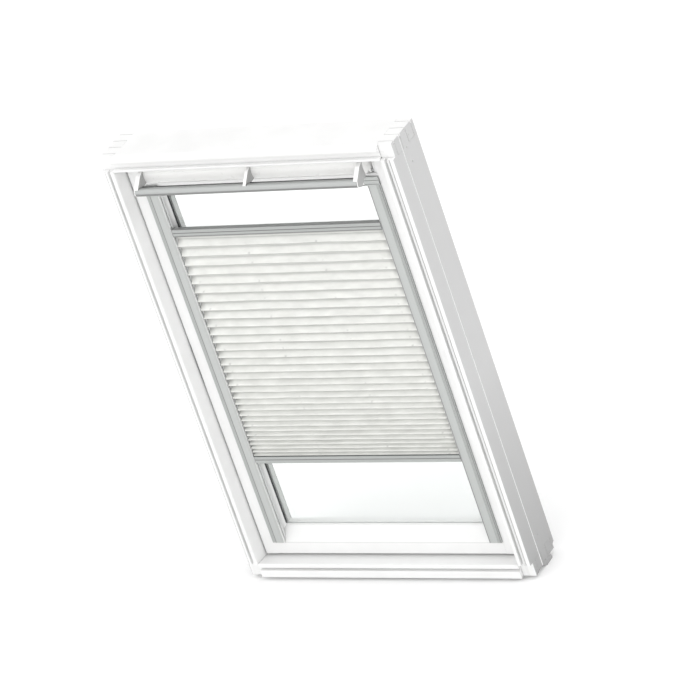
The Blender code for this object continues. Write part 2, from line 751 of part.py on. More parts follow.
def make_hinges(sash_pivot):
    for side, word in ((-1, "left"), (1, "right")):
        plate = extruded(
            f"hinge_plate_{word}",
            [hinge_plate_outline(FRAME_PLATE_LENGTH)],
            "X",
            *sided(side, FRAME_SIDE_INNER, FRAME_SIDE_INNER + HINGE_RECESS - FIT),
            "steel",
        )
        pin = round_bar(
            f"pin of the {word} hinge",
            PIN_RADIUS,
            sided(side, SASH_SIDE - PIN_REACH, FRAME_SIDE_INNER + HINGE_RECESS / 2),
            PIVOT_DEPTH,
            PIVOT_HEIGHT,
        )
        combine(plate, pin, "UNION")
        arm = extruded(
            f"hinge_arm_{word}",
            [hinge_plate_outline(SASH_PLATE_LENGTH)],
            "X",
            *sided(side, SASH_SIDE - HINGE_RECESS + FIT, SASH_SIDE),
            "steel",
        )
        bore = round_bar(
            f"bore of the {word} hinge",
            PIN_RADIUS + PIN_PLAY,
            sided(side, SASH_SIDE - PIN_REACH - CUT_PAST, SASH_SIDE + CUT_PAST),
            PIVOT_DEPTH,
            PIVOT_HEIGHT,
        )
        recess = extruded(
            f"hinge recess of the {word} stile",
            [hinge_plate_outline(SASH_PLATE_LENGTH, FIT)],
            "X",
            *sided(side, SASH_SIDE - HINGE_RECESS, SASH_SIDE + CUT_PAST),
        )
        stile = bpy.data.objects[f"sash_{word}"]
        cut(arm, bore)
        cut(stile, recess, bore)
        carry(sash_pivot, arm)


def slope_at(x):
    """Depth of the stile's slope at a distance x from the middle."""
    return SASH_FRONT + (FACE_INNER - x) * SLOPE_DEPTH / SLOPE_RUN


def make_sash(sash_pivot):
    stile_outline = rounded(
        [
            (SASH_SIDE, SASH_BACK),
            (SASH_SIDE, SASH_FRONT),
            (FACE_INNER, SASH_FRONT),
            (GLASS_SIDE, TIP_DEPTH),
            (GLASS_SIDE, REBATE_DEPTH),
            (GLASS_SIDE + GLASS_REBATE, REBATE_DEPTH),
            (GLASS_SIDE + GLASS_REBATE, SASH_BACK),
        ],
        {1: EDGE_ROUND, 2: EDGE_ROUND},
    )
    stile_space = [
        (FACE_INNER - FIT, SASH_FRONT - CUT_PAST),
        (FACE_INNER - FIT, SASH_FRONT),
        (GLASS_SIDE - FIT, TIP_DEPTH),
        (GLASS_SIDE - FIT, REBATE_DEPTH + FIT),
        (GLASS_SIDE + GLASS_REBATE - FIT, REBATE_DEPTH + FIT),
        (GLASS_SIDE + GLASS_REBATE - FIT, SASH_BACK + CUT_PAST),
        (SASH_SIDE, SASH_BACK + CUT_PAST),
        (SASH_SIDE, SASH_FRONT - CUT_PAST),
    ]
    face_top = SASH_BOTTOM + SASH_FACE
    bottom_outline = rounded(
        [
            (SASH_BACK, SASH_BOTTOM),
            (SASH_FRONT, SASH_BOTTOM),
            (SASH_FRONT, face_top),
            (TIP_DEPTH, GLASS_BOTTOM),
            (REBATE_DEPTH, GLASS_BOTTOM),
            (REBATE_DEPTH, GLASS_BOTTOM - GLASS_REBATE),
            (SASH_BACK, GLASS_BOTTOM - GLASS_REBATE),
        ],
        {1: EDGE_ROUND, 2: EDGE_ROUND},
    )
    top_outline = rounded(
        [
            (SASH_BACK, SASH_TOP),
            (VENT_WALL_DEPTH, SASH_TOP),
            (VENT_WALL_DEPTH, SHELF),
            (SASH_FRONT, SHELF),
            (SASH_FRONT, GLASS_TOP + SLOPE_RUN),
            (TIP_DEPTH, GLASS_TOP),
            (REBATE_DEPTH, GLASS_TOP),
            (REBATE_DEPTH, GLASS_TOP + GLASS_REBATE),
            (SASH_BACK, GLASS_TOP + GLASS_REBATE),
        ],
        {3: EDGE_ROUND, 4: EDGE_ROUND},
    )
    reach = FACE_INNER - FIT
    bottom = extruded("sash_bottom", [bottom_outline], "X", -reach, reach, "white paint")
    top = extruded("sash_top", [top_outline], "X", -reach, reach, "white paint")
    for side, word in ((-1, "left"), (1, "right")):
        stile = extruded(
            f"sash_{word}", [mirrored(side, stile_outline)], "Z", SASH_BOTTOM, SASH_TOP, "white paint"
        )
        space = extruded(
            f"room for the {word} stile",
            [mirrored(side, stile_space)],
            "Z",
            SASH_BOTTOM - CUT_PAST,
            SASH_TOP + CUT_PAST,
        )
        cut(top, space)
        cut(bottom, space)
        carry(sash_pivot, stile)
    carry(sash_pivot, top, bottom)


def glass_ring(name, grow, lap, depth_low, depth_high, kind):
    """A rectangular ring round the glass opening, from grow outside it to lap inside it."""
    outer = rectangle(-GLASS_SIDE - grow, GLASS_SIDE + grow, GLASS_BOTTOM - grow, GLASS_TOP + grow)
    inner = rectangle(-GLASS_SIDE + lap, GLASS_SIDE - lap, GLASS_BOTTOM + lap, GLASS_TOP - lap)
    return extruded(name, [outer, inner], "Y", depth_low, depth_high, kind)


def make_glazing(sash_pivot):
    edge = GLASS_REBATE - PANE_EDGE_GAP
    gasket_low = REBATE_DEPTH + FIT
    gasket = glass_ring(
        "glazing_gasket", edge, GASKET_SHOWS, gasket_low, gasket_low + GASKET_THICK, "rubber"
    )
    spacer = glass_ring(
        "pane_spacer",
        edge - SPACER_EDGE_GAP,
        SPACER_SHOWS,
        SPACER_DEPTH,
        SPACER_DEPTH + PANE_GAP,
        "aluminium",
    )
    pane_x = (-GLASS_SIDE - edge, GLASS_SIDE + edge)
    pane_z = (GLASS_BOTTOM - edge, GLASS_TOP + edge)
    inner = block("inner_pane", pane_x, (INNER_PANE_DEPTH, INNER_PANE_DEPTH + PANE), pane_z, "glass")
    outer = block("outer_pane", pane_x, (OUTER_PANE_DEPTH, OUTER_PANE_DEPTH + PANE), pane_z, "glass")
    carry(sash_pivot, gasket, spacer, inner, outer)

    leg_depth = OUTER_PANE_DEPTH + PANE + FIT
    flat_depth = SASH_BACK + FIT
    side_leg = GLASS_SIDE + SASH_COVER_LAP
    sheet = COVER_SHEET

    def angle(leg, far):
        """An angle section: a leg down to the glass, and a flat out to far."""
        outward = 1 if far > leg else -1
        return [
            (leg, leg_depth),
            (leg, flat_depth + sheet),
            (far, flat_depth + sheet),
            (far, flat_depth),
            (leg + outward * sheet, flat_depth),
            (leg + outward * sheet, leg_depth),
        ]

    low_rebate = GLASS_BOTTOM - GLASS_REBATE + FIT
    high_rebate = GLASS_TOP + GLASS_REBATE - FIT
    over_rails = [
        rectangle(leg_depth - sheet, SASH_BACK + FIT / 2, SASH_BOTTOM, low_rebate),
        rectangle(leg_depth - sheet, SASH_BACK + FIT / 2, high_rebate, SASH_TOP),
    ]
    leg_trim = extruded("sash rails behind the covers", over_rails, "X", -SASH_SIDE, SASH_SIDE)
    for side, word in ((-1, "left"), (1, "right")):
        outline = mirrored(side, angle(side_leg, SASH_SIDE - sheet))
        cover = extruded(
            f"sash_cover_{word}", [outline], "Z", SASH_BOTTOM + sheet, SASH_TOP - sheet, "grey sheet"
        )
        cut(cover, leg_trim)
        carry(sash_pivot, cover)
    legs = {
        "bottom": (GLASS_BOTTOM - SASH_COVER_LAP, SASH_BOTTOM + sheet),
        "top": (GLASS_TOP + SASH_COVER_LAP, SASH_TOP - sheet),
    }
    for word, (leg, far) in legs.items():
        outline = [(depth, height) for height, depth in angle(leg, far)]
        reach = side_leg - FIT
        cover = extruded(f"sash_cover_{word}", [outline], "X", -reach, reach, "grey sheet")
        carry(sash_pivot, cover)


def make_lock(sash_pivot):
    top = bpy.data.objects["sash_top"]
    bolt_top = SASH_TOP - BOLT_BELOW_TOP
    bolt_x = (-BOLT_WIDTH / 2, BOLT_WIDTH / 2)
    bolt_depth = (BOLT_DEPTH - BOLT_THICK / 2, BOLT_DEPTH + BOLT_THICK / 2)
    bolt = block("lock_bolt", bolt_x, bolt_depth, (bolt_top - BOLT_LENGTH, bolt_top), "steel")
    nose = bolt.modifiers.new("rounded edges", "BEVEL")
    nose.width = BOLT_EDGE
    nose.segments = 1
    case_depth = (bolt_depth[0] - LOCK_WALL, bolt_depth[1] + LOCK_WALL)
    case_floor = bolt_top - BOLT_LENGTH - BOLT_PLAY - LOCK_FLOOR
    case_top = SASH_TOP - FIT
    case = block(
        "lock_case", (-LOCK_WIDTH / 2, LOCK_WIDTH / 2), case_depth, (case_floor, case_top), "steel"
    )
    chamber = block(
        "chamber of the bolt",
        (bolt_x[0] - BOLT_PLAY, bolt_x[1] + BOLT_PLAY),
        (bolt_depth[0] - BOLT_PLAY, bolt_depth[1] + BOLT_PLAY),
        (case_floor + LOCK_FLOOR, SASH_TOP + LOCK_WALL),
    )
    pocket = block(
        "pocket of the lock",
        (-LOCK_WIDTH / 2 - FIT, LOCK_WIDTH / 2 + FIT),
        (case_depth[0] - FIT, case_depth[1] + FIT),
        (case_floor - FIT, SASH_TOP + LOCK_WALL),
    )
    cut(case, chamber)
    cut(top, pocket)
    carry(sash_pivot, case)
    slide = pivot("bolt slide", BOLT_DEPTH, bolt_top, sash_pivot)
    carry(slide, bolt)


def make_air_filters(sash_pivot):
    top = bpy.data.objects["sash_top"]
    slot_low = SHELF + VENT_SLOT_UP
    slot_high = slot_low + VENT_SLOT_HEIGHT
    for side, word in ((-1, "left"), (1, "right")):
        slot = block(
            f"{word} air slot",
            sided(side, VENT_SLOT_INNER, VENT_SLOT_OUTER),
            (VENT_WALL_DEPTH - CUT_PAST, SASH_BACK + CUT_PAST),
            (slot_low, slot_high),
        )
        cut(top, slot)
        strip = block(
            f"air_filter_{word}",
            sided(side, VENT_SLOT_INNER + FIT, VENT_SLOT_OUTER - FIT),
            (VENT_WALL_DEPTH + FILTER_INSET, SASH_BACK - FILTER_INSET),
            (slot_low + FIT, slot_high - FIT),
            "foam",
        )
        carry(sash_pivot, strip)


def flap_front_at(height):
    """Depth of the flap's crowned front at a height."""
    share = (height - (FLAP_TOP + FLAP_BOTTOM) / 2) / (FLAP_HEIGHT / 2)
    return -FLAP_FRONT + FLAP_BULGE * share * share


def flap_section(wall):
    """The flap's section, or with a wall its hollow, which is open behind."""
    low = FLAP_BOTTOM + wall
    high = FLAP_TOP - wall
    back = FLAP_BACK + wall
    steps = 8
    crown = []
    for step in range(steps + 1):
        height = low + (high - low) * step / steps
        crown.append((flap_front_at(height) + wall, height))
    outline = [*crown, (back, high), (back, low)]
    if wall > 0:
        return outline
    return rounded(outline, {0: FLAP_BOTTOM_ROUND, steps: FLAP_TOP_ROUND})


def make_vent(sash_pivot):
    hinge = pivot("flap pivot", FLAP_PIVOT_DEPTH, FLAP_PIVOT_HEIGHT, sash_pivot)
    flap = extruded("vent_flap", [flap_section(0.0)], "X", -FLAP_SIDE, FLAP_SIDE, "cream plastic")
    hollow_side = FLAP_SIDE - FLAP_END
    hollow = extruded("hollow of the flap", [flap_section(FLAP_WALL)], "X", -hollow_side, hollow_side)
    lug_top = FLAP_BOTTOM + FLAP_WALL / 2
    lug_steps = 8
    lug_outline = []
    for step in range(lug_steps + 1):
        angle = math.pi + math.pi * step / lug_steps
        depth = FLAP_PIVOT_DEPTH + FLAP_LUG_RADIUS * math.cos(angle)
        lug_outline.append((depth, FLAP_PIVOT_HEIGHT + FLAP_LUG_RADIUS * math.sin(angle)))
    lug_outline.append((FLAP_PIVOT_DEPTH + FLAP_LUG_RADIUS, lug_top))
    lug_outline.append((FLAP_PIVOT_DEPTH - FLAP_LUG_RADIUS, lug_top))
    cut(flap, hollow)
    for side, word in ((-1, "left"), (1, "right")):
        lug = extruded(
            f"{word} lug of the flap", [lug_outline], "X", *sided(side, hollow_side, FLAP_SIDE - FIT)
        )
        combine(flap, lug, "UNION")
        recess_side = FLAP_SIDE + FLAP_END_GAP
        pin_end = recess_side + FLAP_PIN_SEAT
        recess = block(
            f"{word} end of the flap's recess",
            sided(side, GLASS_SIDE - FLAP_END, recess_side),
            (SASH_FRONT - FLAP_END, VENT_WALL_DEPTH),
            (SHELF, SASH_TOP + FLAP_END),
        )
        bore = round_bar(
            f"{word} bore of the flap",
            FLAP_PIN_RADIUS + PIN_PLAY,
            sided(side, hollow_side - FLAP_END, pin_end + PIN_PLAY),
            FLAP_PIVOT_DEPTH,
            FLAP_PIVOT_HEIGHT,
            segments=16,
        )
        pin = round_bar(
            f"flap_pin_{word}",
            FLAP_PIN_RADIUS,
            sided(side, hollow_side - FLAP_END / 2, pin_end),
            FLAP_PIVOT_DEPTH,
            FLAP_PIVOT_HEIGHT,
            "steel",
            segments=16,
        )
        cut(flap, bore)
        cut(bpy.data.objects[f"sash_{word}"], recess, bore)
        carry(sash_pivot, pin)
    carry(hinge, flap)
    make_control_bar(hinge)


def bar_arch(grow, first=0.0):
    """The bar's arched top from its front to its back, from a share of the half turn on."""
    half = BAR_ARCH_WIDTH / 2
    steps = 10
    arch = []
    for step in range(steps + 1):
        turn = math.pi * (first + (1.0 - first) * step / steps)
        depth = BAR_FRONT + half - (half + grow) * math.cos(turn)
        arch.append((depth, BAR_TOP + (BAR_ARCH + grow) * math.sin(turn)))
    return arch


def make_control_bar(hinge):
    low = BAR_TOP - BAR_HEIGHT
    under = BAR_TOP - BAR_WALL
    toe = BAR_FRONT + BAR_RAKE
    bar_side = FLAP_SIDE - BRACKET_END - FIT
    bar_outline = rounded(
        [
            (toe, low),
            (toe + BAR_GRIP, low),
            (toe + BAR_GRIP, low + BAR_WALL),
            (toe + BAR_WALL, low + BAR_WALL),
            *bar_arch(-BAR_WALL),
            (BAR_FRONT + BAR_ARCH_WIDTH - BAR_WALL, under),
            (BAR_BACK - BAR_WALL, under),
            (BAR_BACK - BAR_WALL, low),
            (BAR_BACK, low),
            (BAR_BACK, BAR_TOP + BAR_RIM),
            (BAR_BACK - BAR_RIM_WIDTH, BAR_TOP + BAR_RIM),
            (BAR_BACK - BAR_RIM_WIDTH, BAR_TOP),
            *reversed(bar_arch(0.0)),
        ],
        {0: BAR_ROUND},
        steps=3,
    )
    bar = extruded("control_bar", [bar_outline], "X", -bar_side, bar_side, "aluminium")

    crown_steps = 4
    crown = []
    for step in range(crown_steps + 1):
        height = FLAP_BOTTOM + BRACKET_FOOT + (BRACKET_TOP - BRACKET_FOOT) * step / crown_steps
        crown.append((flap_front_at(height) - BRACKET_CROWN_GAP, height))
    shoulder = (BAR_FRONT + BRACKET_SHOULDER[0], BAR_TOP + BRACKET_SHOULDER[1])
    nose = (BAR_FRONT + BRACKET_NOSE_BACK, BAR_TOP + BRACKET_NOSE_UP)
    nose_turn = math.acos(1.0 - 2 * BRACKET_NOSE_BACK / BAR_ARCH_WIDTH) / math.pi
    saddle = BAR_TOP + FIT
    rim_front = BAR_BACK - BAR_RIM_WIDTH - FIT
    rim_top = BAR_TOP + BAR_RIM + FIT
    crown.append(shoulder)
    nose_corner = len(crown)
    bracket_outline = rounded(
        crown
        + [
            nose,
            *bar_arch(FIT, nose_turn)[:-1],
            (BAR_FRONT + BAR_ARCH_WIDTH + FIT, saddle),
            (rim_front, saddle),
            (rim_front, rim_top),
            (BAR_BACK + FIT, rim_top),
            (BAR_BACK + FIT, saddle),
        ],
        {nose_corner - 1: END_PLATE_ROUND, nose_corner: BRACKET_NOSE_ROUND},
        steps=4,
    )
    end_outline = rounded(
        crown
        + [
            nose,
            (BAR_FRONT - END_PLATE_LAP, BAR_TOP - END_PLATE_NOSE_DROP),
            (BAR_BACK - END_PLATE_CHIN_BACK, low - END_PLATE_CHIN),
        ],
        dict.fromkeys(range(nose_corner - 1, nose_corner + 3), END_PLATE_ROUND),
        steps=4,
    )
    half = BRACKET_MIDDLE_WIDTH / 2
    middle = extruded("bar_bracket_middle", [bracket_outline], "X", -half, half, "cream plastic")
    carry(hinge, bar, middle)
    for side, word in ((-1, "left"), (1, "right")):
        bracket = extruded(
            f"bar_bracket_{word}",
            [bracket_outline],
            "X",
            *sided(side, FLAP_SIDE - BRACKET_WIDTH, FLAP_SIDE - BRACKET_END / 2),
            "cream plastic",
        )
        end = extruded(
            f"end plate of the {word} bracket",
            [end_outline],
            "X",
            *sided(side, FLAP_SIDE - BRACKET_END, FLAP_SIDE),
        )
        combine(bracket, end, "UNION")
        carry(hinge, bracket)


def channel_outline():
    """Section of a side channel: a wide face with a foot, and a mouth toward the blind."""
    face_back = CHANNEL_FRONT + CHANNEL_WALL
    back_front = CHANNEL_BACK - CHANNEL_WALL
    lip_back = (CHANNEL_FRONT + CHANNEL_BACK - CHANNEL_MOUTH) / 2
    lip_front = lip_back + CHANNEL_MOUTH
    lip_outer = CHANNEL_INNER + CHANNEL_LIP
    foot_inner = CHANNEL_OUTER - CHANNEL_FOOT
    web_inner = CHANNEL_INNER + CHANNEL_REACH
    web_outer = web_inner + CHANNEL_WALL
    outline = [(CHANNEL_INNER, CHANNEL_FRONT)]
    first = CHANNEL_OUTER - CHANNEL_RIDGES * CHANNEL_RIDGE_PITCH
    for number in range(CHANNEL_RIDGES):
        middle = first + number * CHANNEL_RIDGE_PITCH
        outline += [
            (middle - CHANNEL_RIDGE_DEEP, CHANNEL_FRONT),
            (middle, CHANNEL_FRONT + CHANNEL_RIDGE_DEEP),
            (middle + CHANNEL_RIDGE_DEEP, CHANNEL_FRONT),
        ]
    return outline + [
        (CHANNEL_OUTER, CHANNEL_FRONT),
        (CHANNEL_OUTER, slope_at(CHANNEL_OUTER) - FIT),
        (foot_inner, slope_at(foot_inner) - FIT),
        (foot_inner, face_back),
        (web_outer, face_back),
        (web_outer, CHANNEL_BACK),
        (CHANNEL_INNER, CHANNEL_BACK),
        (CHANNEL_INNER, lip_front),
        (lip_outer, lip_front),
        (lip_outer, back_front),
        (web_inner, back_front),
        (web_inner, face_back),
        (lip_outer, face_back),
        (lip_outer, lip_back),
        (CHANNEL_INNER, lip_back),
    ]


def cap_outline():
    """Section of a channel's end cap: a plate with level ribs on its front."""
    low = CHANNEL_TOP + FIT
    high = low + CAP_HEIGHT
    plate_back = CHANNEL_FRONT + CHANNEL_WALL
    rib_front = CHANNEL_FRONT - CAP_RIB_PROUD
    pitch = (CAP_HEIGHT - CAP_RIB_WIDTH) / (CAP_RIBS - 1)
    outline = [(plate_back, high), (plate_back, low)]
    for number in range(CAP_RIBS):
        rib_low = low + number * pitch
        rib_high = rib_low + CAP_RIB_WIDTH
        outline += [(rib_front, rib_low), (rib_front, rib_high)]
        if number < CAP_RIBS - 1:
            outline += [(CHANNEL_FRONT, rib_high), (CHANNEL_FRONT, rib_low + pitch)]
    return outline


def room_for_sash_rails():
    """A cutter that trims the channels along the slopes of the sash's top and bottom rails."""
    steepness = SLOPE_RUN / SLOPE_DEPTH
    gap = FIT * math.hypot(1.0, steepness)
    far = CHANNEL_BACK + CUT_PAST
    climb = (far - SASH_FRONT) * steepness
    low_face = SASH_BOTTOM + SASH_FACE
    high_face = GLASS_TOP + SLOPE_RUN
    bottom = [
        (SASH_FRONT, low_face + gap),
        (far, low_face + climb + gap),
        (far, low_face - CUT_PAST),
        (SASH_FRONT, low_face - CUT_PAST),
    ]
    top = [
        (SASH_FRONT - FIT, high_face - gap),
        (far, high_face - climb - gap),
        (far, CHANNEL_TOP + CUT_PAST),
        (SASH_FRONT - FIT, CHANNEL_TOP + CUT_PAST),
    ]
    return extruded("slopes of the sash rails", [bottom, top], "X", -FACE_INNER, FACE_INNER)


def make_channels(sash_pivot):
    slopes = room_for_sash_rails()
    for side, word in ((-1, "left"), (1, "right")):
        channel = extruded(
            f"blind_channel_{word}",
            [mirrored(side, channel_outline())],
            "Z",
            CHANNEL_BOTTOM,
            CHANNEL_TOP,
            "aluminium",
        )
        cut(channel, slopes)
        cap = extruded(
            f"channel_cap_{word}",
            [cap_outline()],
            "X",
            *sided(side, CHANNEL_INNER - CAP_LAP, CHANNEL_OUTER),
            "aluminium",
        )
        carry(sash_pivot, channel, cap)


def rail_section(mouth, far):
    """A blind rail: a hollow box with a grooved face, and a mouth in the edge at the fabric."""
    away = 1 if far > mouth else -1
    middle = (CHANNEL_FRONT + CHANNEL_BACK) / 2
    step_depth = CHANNEL_FRONT + RAIL_RECESS
    step_height = mouth + away * RAIL_RECESS
    groove = mouth + away * RAIL_GROOVE_OFF
    lip = mouth + away * RAIL_WALL
    inner_far = far - away * RAIL_WALL
    inner_front = CHANNEL_FRONT + RAIL_GROOVE + RAIL_WALL
    inner_back = CHANNEL_BACK - RAIL_WALL
    return [
        (CHANNEL_BACK, far),
        (CHANNEL_FRONT, far),
        (CHANNEL_FRONT, groove + away * RAIL_GROOVE),
        (CHANNEL_FRONT + RAIL_GROOVE, groove),
        (CHANNEL_FRONT, groove - away * RAIL_GROOVE),
        (CHANNEL_FRONT, step_height),
        (step_depth, step_height),
        (step_depth, mouth),
        (middle - RAIL_MOUTH / 2, mouth),
        (middle - RAIL_MOUTH / 2, lip),
        (step_depth + RAIL_WALL, lip),
        (step_depth + RAIL_WALL, step_height + away * RAIL_WALL),
        (inner_front, step_height + away * RAIL_WALL),
        (inner_front, inner_far),
        (inner_back, inner_far),
        (inner_back, lip),
        (middle + RAIL_MOUTH / 2, lip),
        (middle + RAIL_MOUTH / 2, mouth),
        (CHANNEL_BACK, mouth),
    ]


def make_sliders(prefix, low, high, carriage):
    """Plastic ends that run in the channels, each with a plug in the end of its rail."""
    back = CHANNEL_BACK - CHANNEL_WALL - SLIDER_PLAY
    plug_front = CHANNEL_FRONT + RAIL_RECESS + RAIL_WALL + FIT
    middle = (CHANNEL_FRONT + CHANNEL_BACK) / 2
    head_inner = CHANNEL_INNER + CHANNEL_LIP + SLIDER_PLAY
    for side, word in ((-1, "left"), (1, "right")):
        slider = block(
            f"{prefix}_slider_{word}",
            sided(side, head_inner, CHANNEL_INNER + CHANNEL_REACH - FIT),
            (CHANNEL_FRONT + CHANNEL_WALL + SLIDER_PLAY, back),
            (low + SLIDER_INSET, high - SLIDER_INSET),
            "cream plastic",
        )
        ease = slider.modifiers.new("eased edges", "BEVEL")
        ease.width = SLIDER_INSET
        ease.segments = 1
        neck = block(
            f"neck of the {word} {prefix} slider",
            sided(side, RAIL_SIDE - SLIDER_INSET, head_inner + SLIDER_INSET * 2),
            (middle - SLIDER_NECK / 2, middle + SLIDER_NECK / 2),
            (low + RAIL_WALL + SLIDER_INSET, high - RAIL_WALL - SLIDER_INSET),
        )
        plug = block(
            f"plug of the {word} {prefix}",
            sided(side, RAIL_SIDE - SLIDER_PLUG, RAIL_SIDE),
            (plug_front, back - SLIDER_INSET),
            (low + RAIL_WALL + FIT, high - RAIL_WALL - FIT),
        )
        combine(slider, neck, "UNION")
        combine(slider, plug, "UNION")
        carry(carriage, slider)


def pleat_outline():
    """The folded fabric from the side: folds lie closer together toward the bottom."""
    middle = (CHANNEL_FRONT + CHANNEL_BACK) / 2
    high = FABRIC_TOP - FIT
    low = FABRIC_BOTTOM + FIT
    weights = []
    for number in range(PLEATS):
        share = number / (PLEATS - 1)
        weights.append(1.0 - PLEAT_TIGHTENING * share**PLEAT_TIGHTENING_POWER)
    unit = (high - low) / sum(weights)
    fold_line = [(middle, high)]
    height = high
    for weight in weights:
        pitch = weight * unit
        depth = math.sqrt(max(PLEAT_PANEL**2 - (pitch / 2) ** 2, PLEAT_LEAST_DEPTH**2))
        fold_line.append((middle + depth / 2, height - pitch / 2))
        height -= pitch
        fold_line.append((middle - depth / 2, height))
    half = FABRIC_WALL / 2
    front = [(depth - half, height) for depth, height in fold_line]
    back = [(depth + half, height) for depth, height in reversed(fold_line)]
    return front + back


def make_blind(sash_pivot):
    middle = (CHANNEL_FRONT + CHANNEL_BACK) / 2
    top_carriage = pivot("top rail carriage", middle, FABRIC_TOP, sash_pivot)
    bottom_carriage = pivot("bottom rail carriage", middle, FABRIC_BOTTOM, top_carriage)
    top_section = rail_section(FABRIC_TOP, BLIND_TOP)
    bottom_section = rail_section(FABRIC_BOTTOM, BLIND_BOTTOM)
    top_rail = extruded("top_rail", [top_section], "X", -RAIL_SIDE, RAIL_SIDE, "aluminium")
    bottom_rail = extruded("bottom_rail", [bottom_section], "X", -RAIL_SIDE, RAIL_SIDE, "aluminium")
    fabric_side = RAIL_SIDE - FABRIC_SIDE_GAP
    fabric = extruded("pleated_fabric", [pleat_outline()], "X", -fabric_side, fabric_side, "blind fabric")
    carry(top_carriage, top_rail, fabric)
    carry(bottom_carriage, bottom_rail)
    make_sliders("top_rail", FABRIC_TOP, BLIND_TOP, top_carriage)
    make_sliders("bottom_rail", BLIND_BOTTOM, FABRIC_BOTTOM, bottom_carriage)


make_frame()
make_weather_covers()
sash_hinge = pivot("sash pivot", PIVOT_DEPTH, PIVOT_HEIGHT)
make_sash(sash_hinge)
make_hinges(sash_hinge)
make_glazing(sash_hinge)
make_lock(sash_hinge)
make_air_filters(sash_hinge)
make_vent(sash_hinge)
make_channels(sash_hinge)
make_blind(sash_hinge)
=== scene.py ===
"""Looks of a centre-pivot roof window with a pleated blind on its sash.

Metres. X runs across the window, Z up along it, and Y from the room (-Y) out to the
weather (+Y), as in the model that this file dresses.
"""
import math

import bmesh
import bpy
from mathutils import Matrix, Vector, noise


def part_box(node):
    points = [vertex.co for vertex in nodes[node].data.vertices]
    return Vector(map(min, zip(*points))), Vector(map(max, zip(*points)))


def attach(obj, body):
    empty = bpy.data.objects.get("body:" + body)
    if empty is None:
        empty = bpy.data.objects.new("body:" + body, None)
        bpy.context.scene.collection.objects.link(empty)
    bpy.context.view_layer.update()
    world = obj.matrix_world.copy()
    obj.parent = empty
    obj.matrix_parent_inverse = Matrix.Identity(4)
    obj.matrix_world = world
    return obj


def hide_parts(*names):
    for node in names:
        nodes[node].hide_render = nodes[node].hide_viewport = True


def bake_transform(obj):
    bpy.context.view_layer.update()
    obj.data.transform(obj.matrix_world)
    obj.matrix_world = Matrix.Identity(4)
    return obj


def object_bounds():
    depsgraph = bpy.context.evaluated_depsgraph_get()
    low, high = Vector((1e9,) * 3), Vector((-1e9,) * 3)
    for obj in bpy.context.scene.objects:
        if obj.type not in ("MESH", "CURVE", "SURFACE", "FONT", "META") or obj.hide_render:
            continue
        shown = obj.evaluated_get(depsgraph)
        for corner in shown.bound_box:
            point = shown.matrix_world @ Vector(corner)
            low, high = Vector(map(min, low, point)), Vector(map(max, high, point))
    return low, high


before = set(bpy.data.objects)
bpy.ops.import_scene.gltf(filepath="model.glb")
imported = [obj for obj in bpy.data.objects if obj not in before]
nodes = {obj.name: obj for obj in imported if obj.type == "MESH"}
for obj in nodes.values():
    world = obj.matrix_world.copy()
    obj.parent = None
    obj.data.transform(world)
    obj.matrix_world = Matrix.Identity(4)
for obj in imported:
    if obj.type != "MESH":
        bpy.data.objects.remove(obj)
cad_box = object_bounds()


# The outer frame is four pine members, comb jointed and glued at the corners, and coated
# in white lacquer that leaves a faint run of grain and a slight orange peel. Every edge
# is eased, so each joint shows as a fine soft line.
LACQUER = (0.83, 0.83, 0.825)
DULL_LACQUER = (0.815, 0.815, 0.81)
CLEAN_LACQUER = (0.845, 0.845, 0.842)
# Painted shade on the outer sides of the frame, darker still toward the foot.
OUTER_SIDE_SHADE = (0.54, 0.54, 0.54)
SIDE_FOOT_SHADE = (0.36, 0.36, 0.36)
# Painted shade in the grooves, on a band of the lips and along the arris of the sash.
GROOVE_SHADE = (0.78, 0.78, 0.775)
BAND_SHADE = (0.69, 0.69, 0.685)
# Painted highlight on the bead of the outer sides, and painted light in the comb's cuts there.
BEAD_AND_CUT_LIGHT = (0.84, 0.84, 0.84)
# Painted shade deep in joints, gaps and grooves, where faces close round a spot.
JOINT_SHADE = (0.50, 0.50, 0.495)
CREVICE_SHADE_REACH = 0.003
CREVICE_SHADE_SAMPLES = 12
LACQUER_ROUGHNESS = 0.36
LACQUER_SMOOTHER = 0.04
LACQUER_ROUGHER = 0.06
# How many lumps of each kind come to a metre, and how high they stand.
GRAIN_ACROSS = 420.0
GRAIN_ALONG = 9.0
PEEL = 900.0
CLOUDS = 14.0
GRAIN_HEIGHT = 0.00006
PEEL_HEIGHT = 0.00003
# The spread that a field of noise seldom leaves.
NOISE_LOW = 0.3
NOISE_HIGH = 0.7
EASED_EDGE = 0.0006
EASED_ANGLE = 38
WELD_GAP = 0.00002
# Where the mouldings lie, each measured from an edge of the frame or the foot of the sash.
SIDE_LIP = 0.0175
SIDE_GROOVE = 0.007
LIP_STEP = 0.0115
TOP_BLOCK = 0.0305
TOP_SHADE_DROP = 0.020
BEAD_BACK = 0.0495
BEAD_HALF = 0.0014
SASH_FACE = 0.0315
GROOVE_BACK = 0.013
BAND_SETBACK = 0.0007
SHADE_HALF = 0.002
ARRIS_HALF = 0.0008
ARRIS_END = 0.0015
SIDE_SHADE_TOP = 0.55
SIDE_RIM = 0.005
CUT_MOUTH = 0.0008
CUT_INSIDE = 0.0011
TICK_FOOT = 0.005
# How far in from a face still counts as its skin, and the width of a soft painted edge.
SKIN = 0.001
HALF_SKIN = 0.0005
SOFT_EDGE = 0.0004

outer_side = cad_box[1].x
frame_head = cad_box[1].z
lip_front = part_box("frame_right")[0].y
sash_foot, sash_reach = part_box("sash_bottom")


def new_finish(name, colour, roughness, **even_values):
    """A finish whose even values sit on the shader's own sockets."""
    finish = bpy.data.materials.new(name)
    finish.use_nodes = True
    shader = finish.node_tree.nodes["Principled BSDF"]
    shader.inputs["Base Color"].default_value = (*colour, 1.0)
    shader.inputs["Roughness"].default_value = roughness
    for socket, value in even_values.items():
        shader.inputs[socket.replace("_", " ")].default_value = value
    return finish


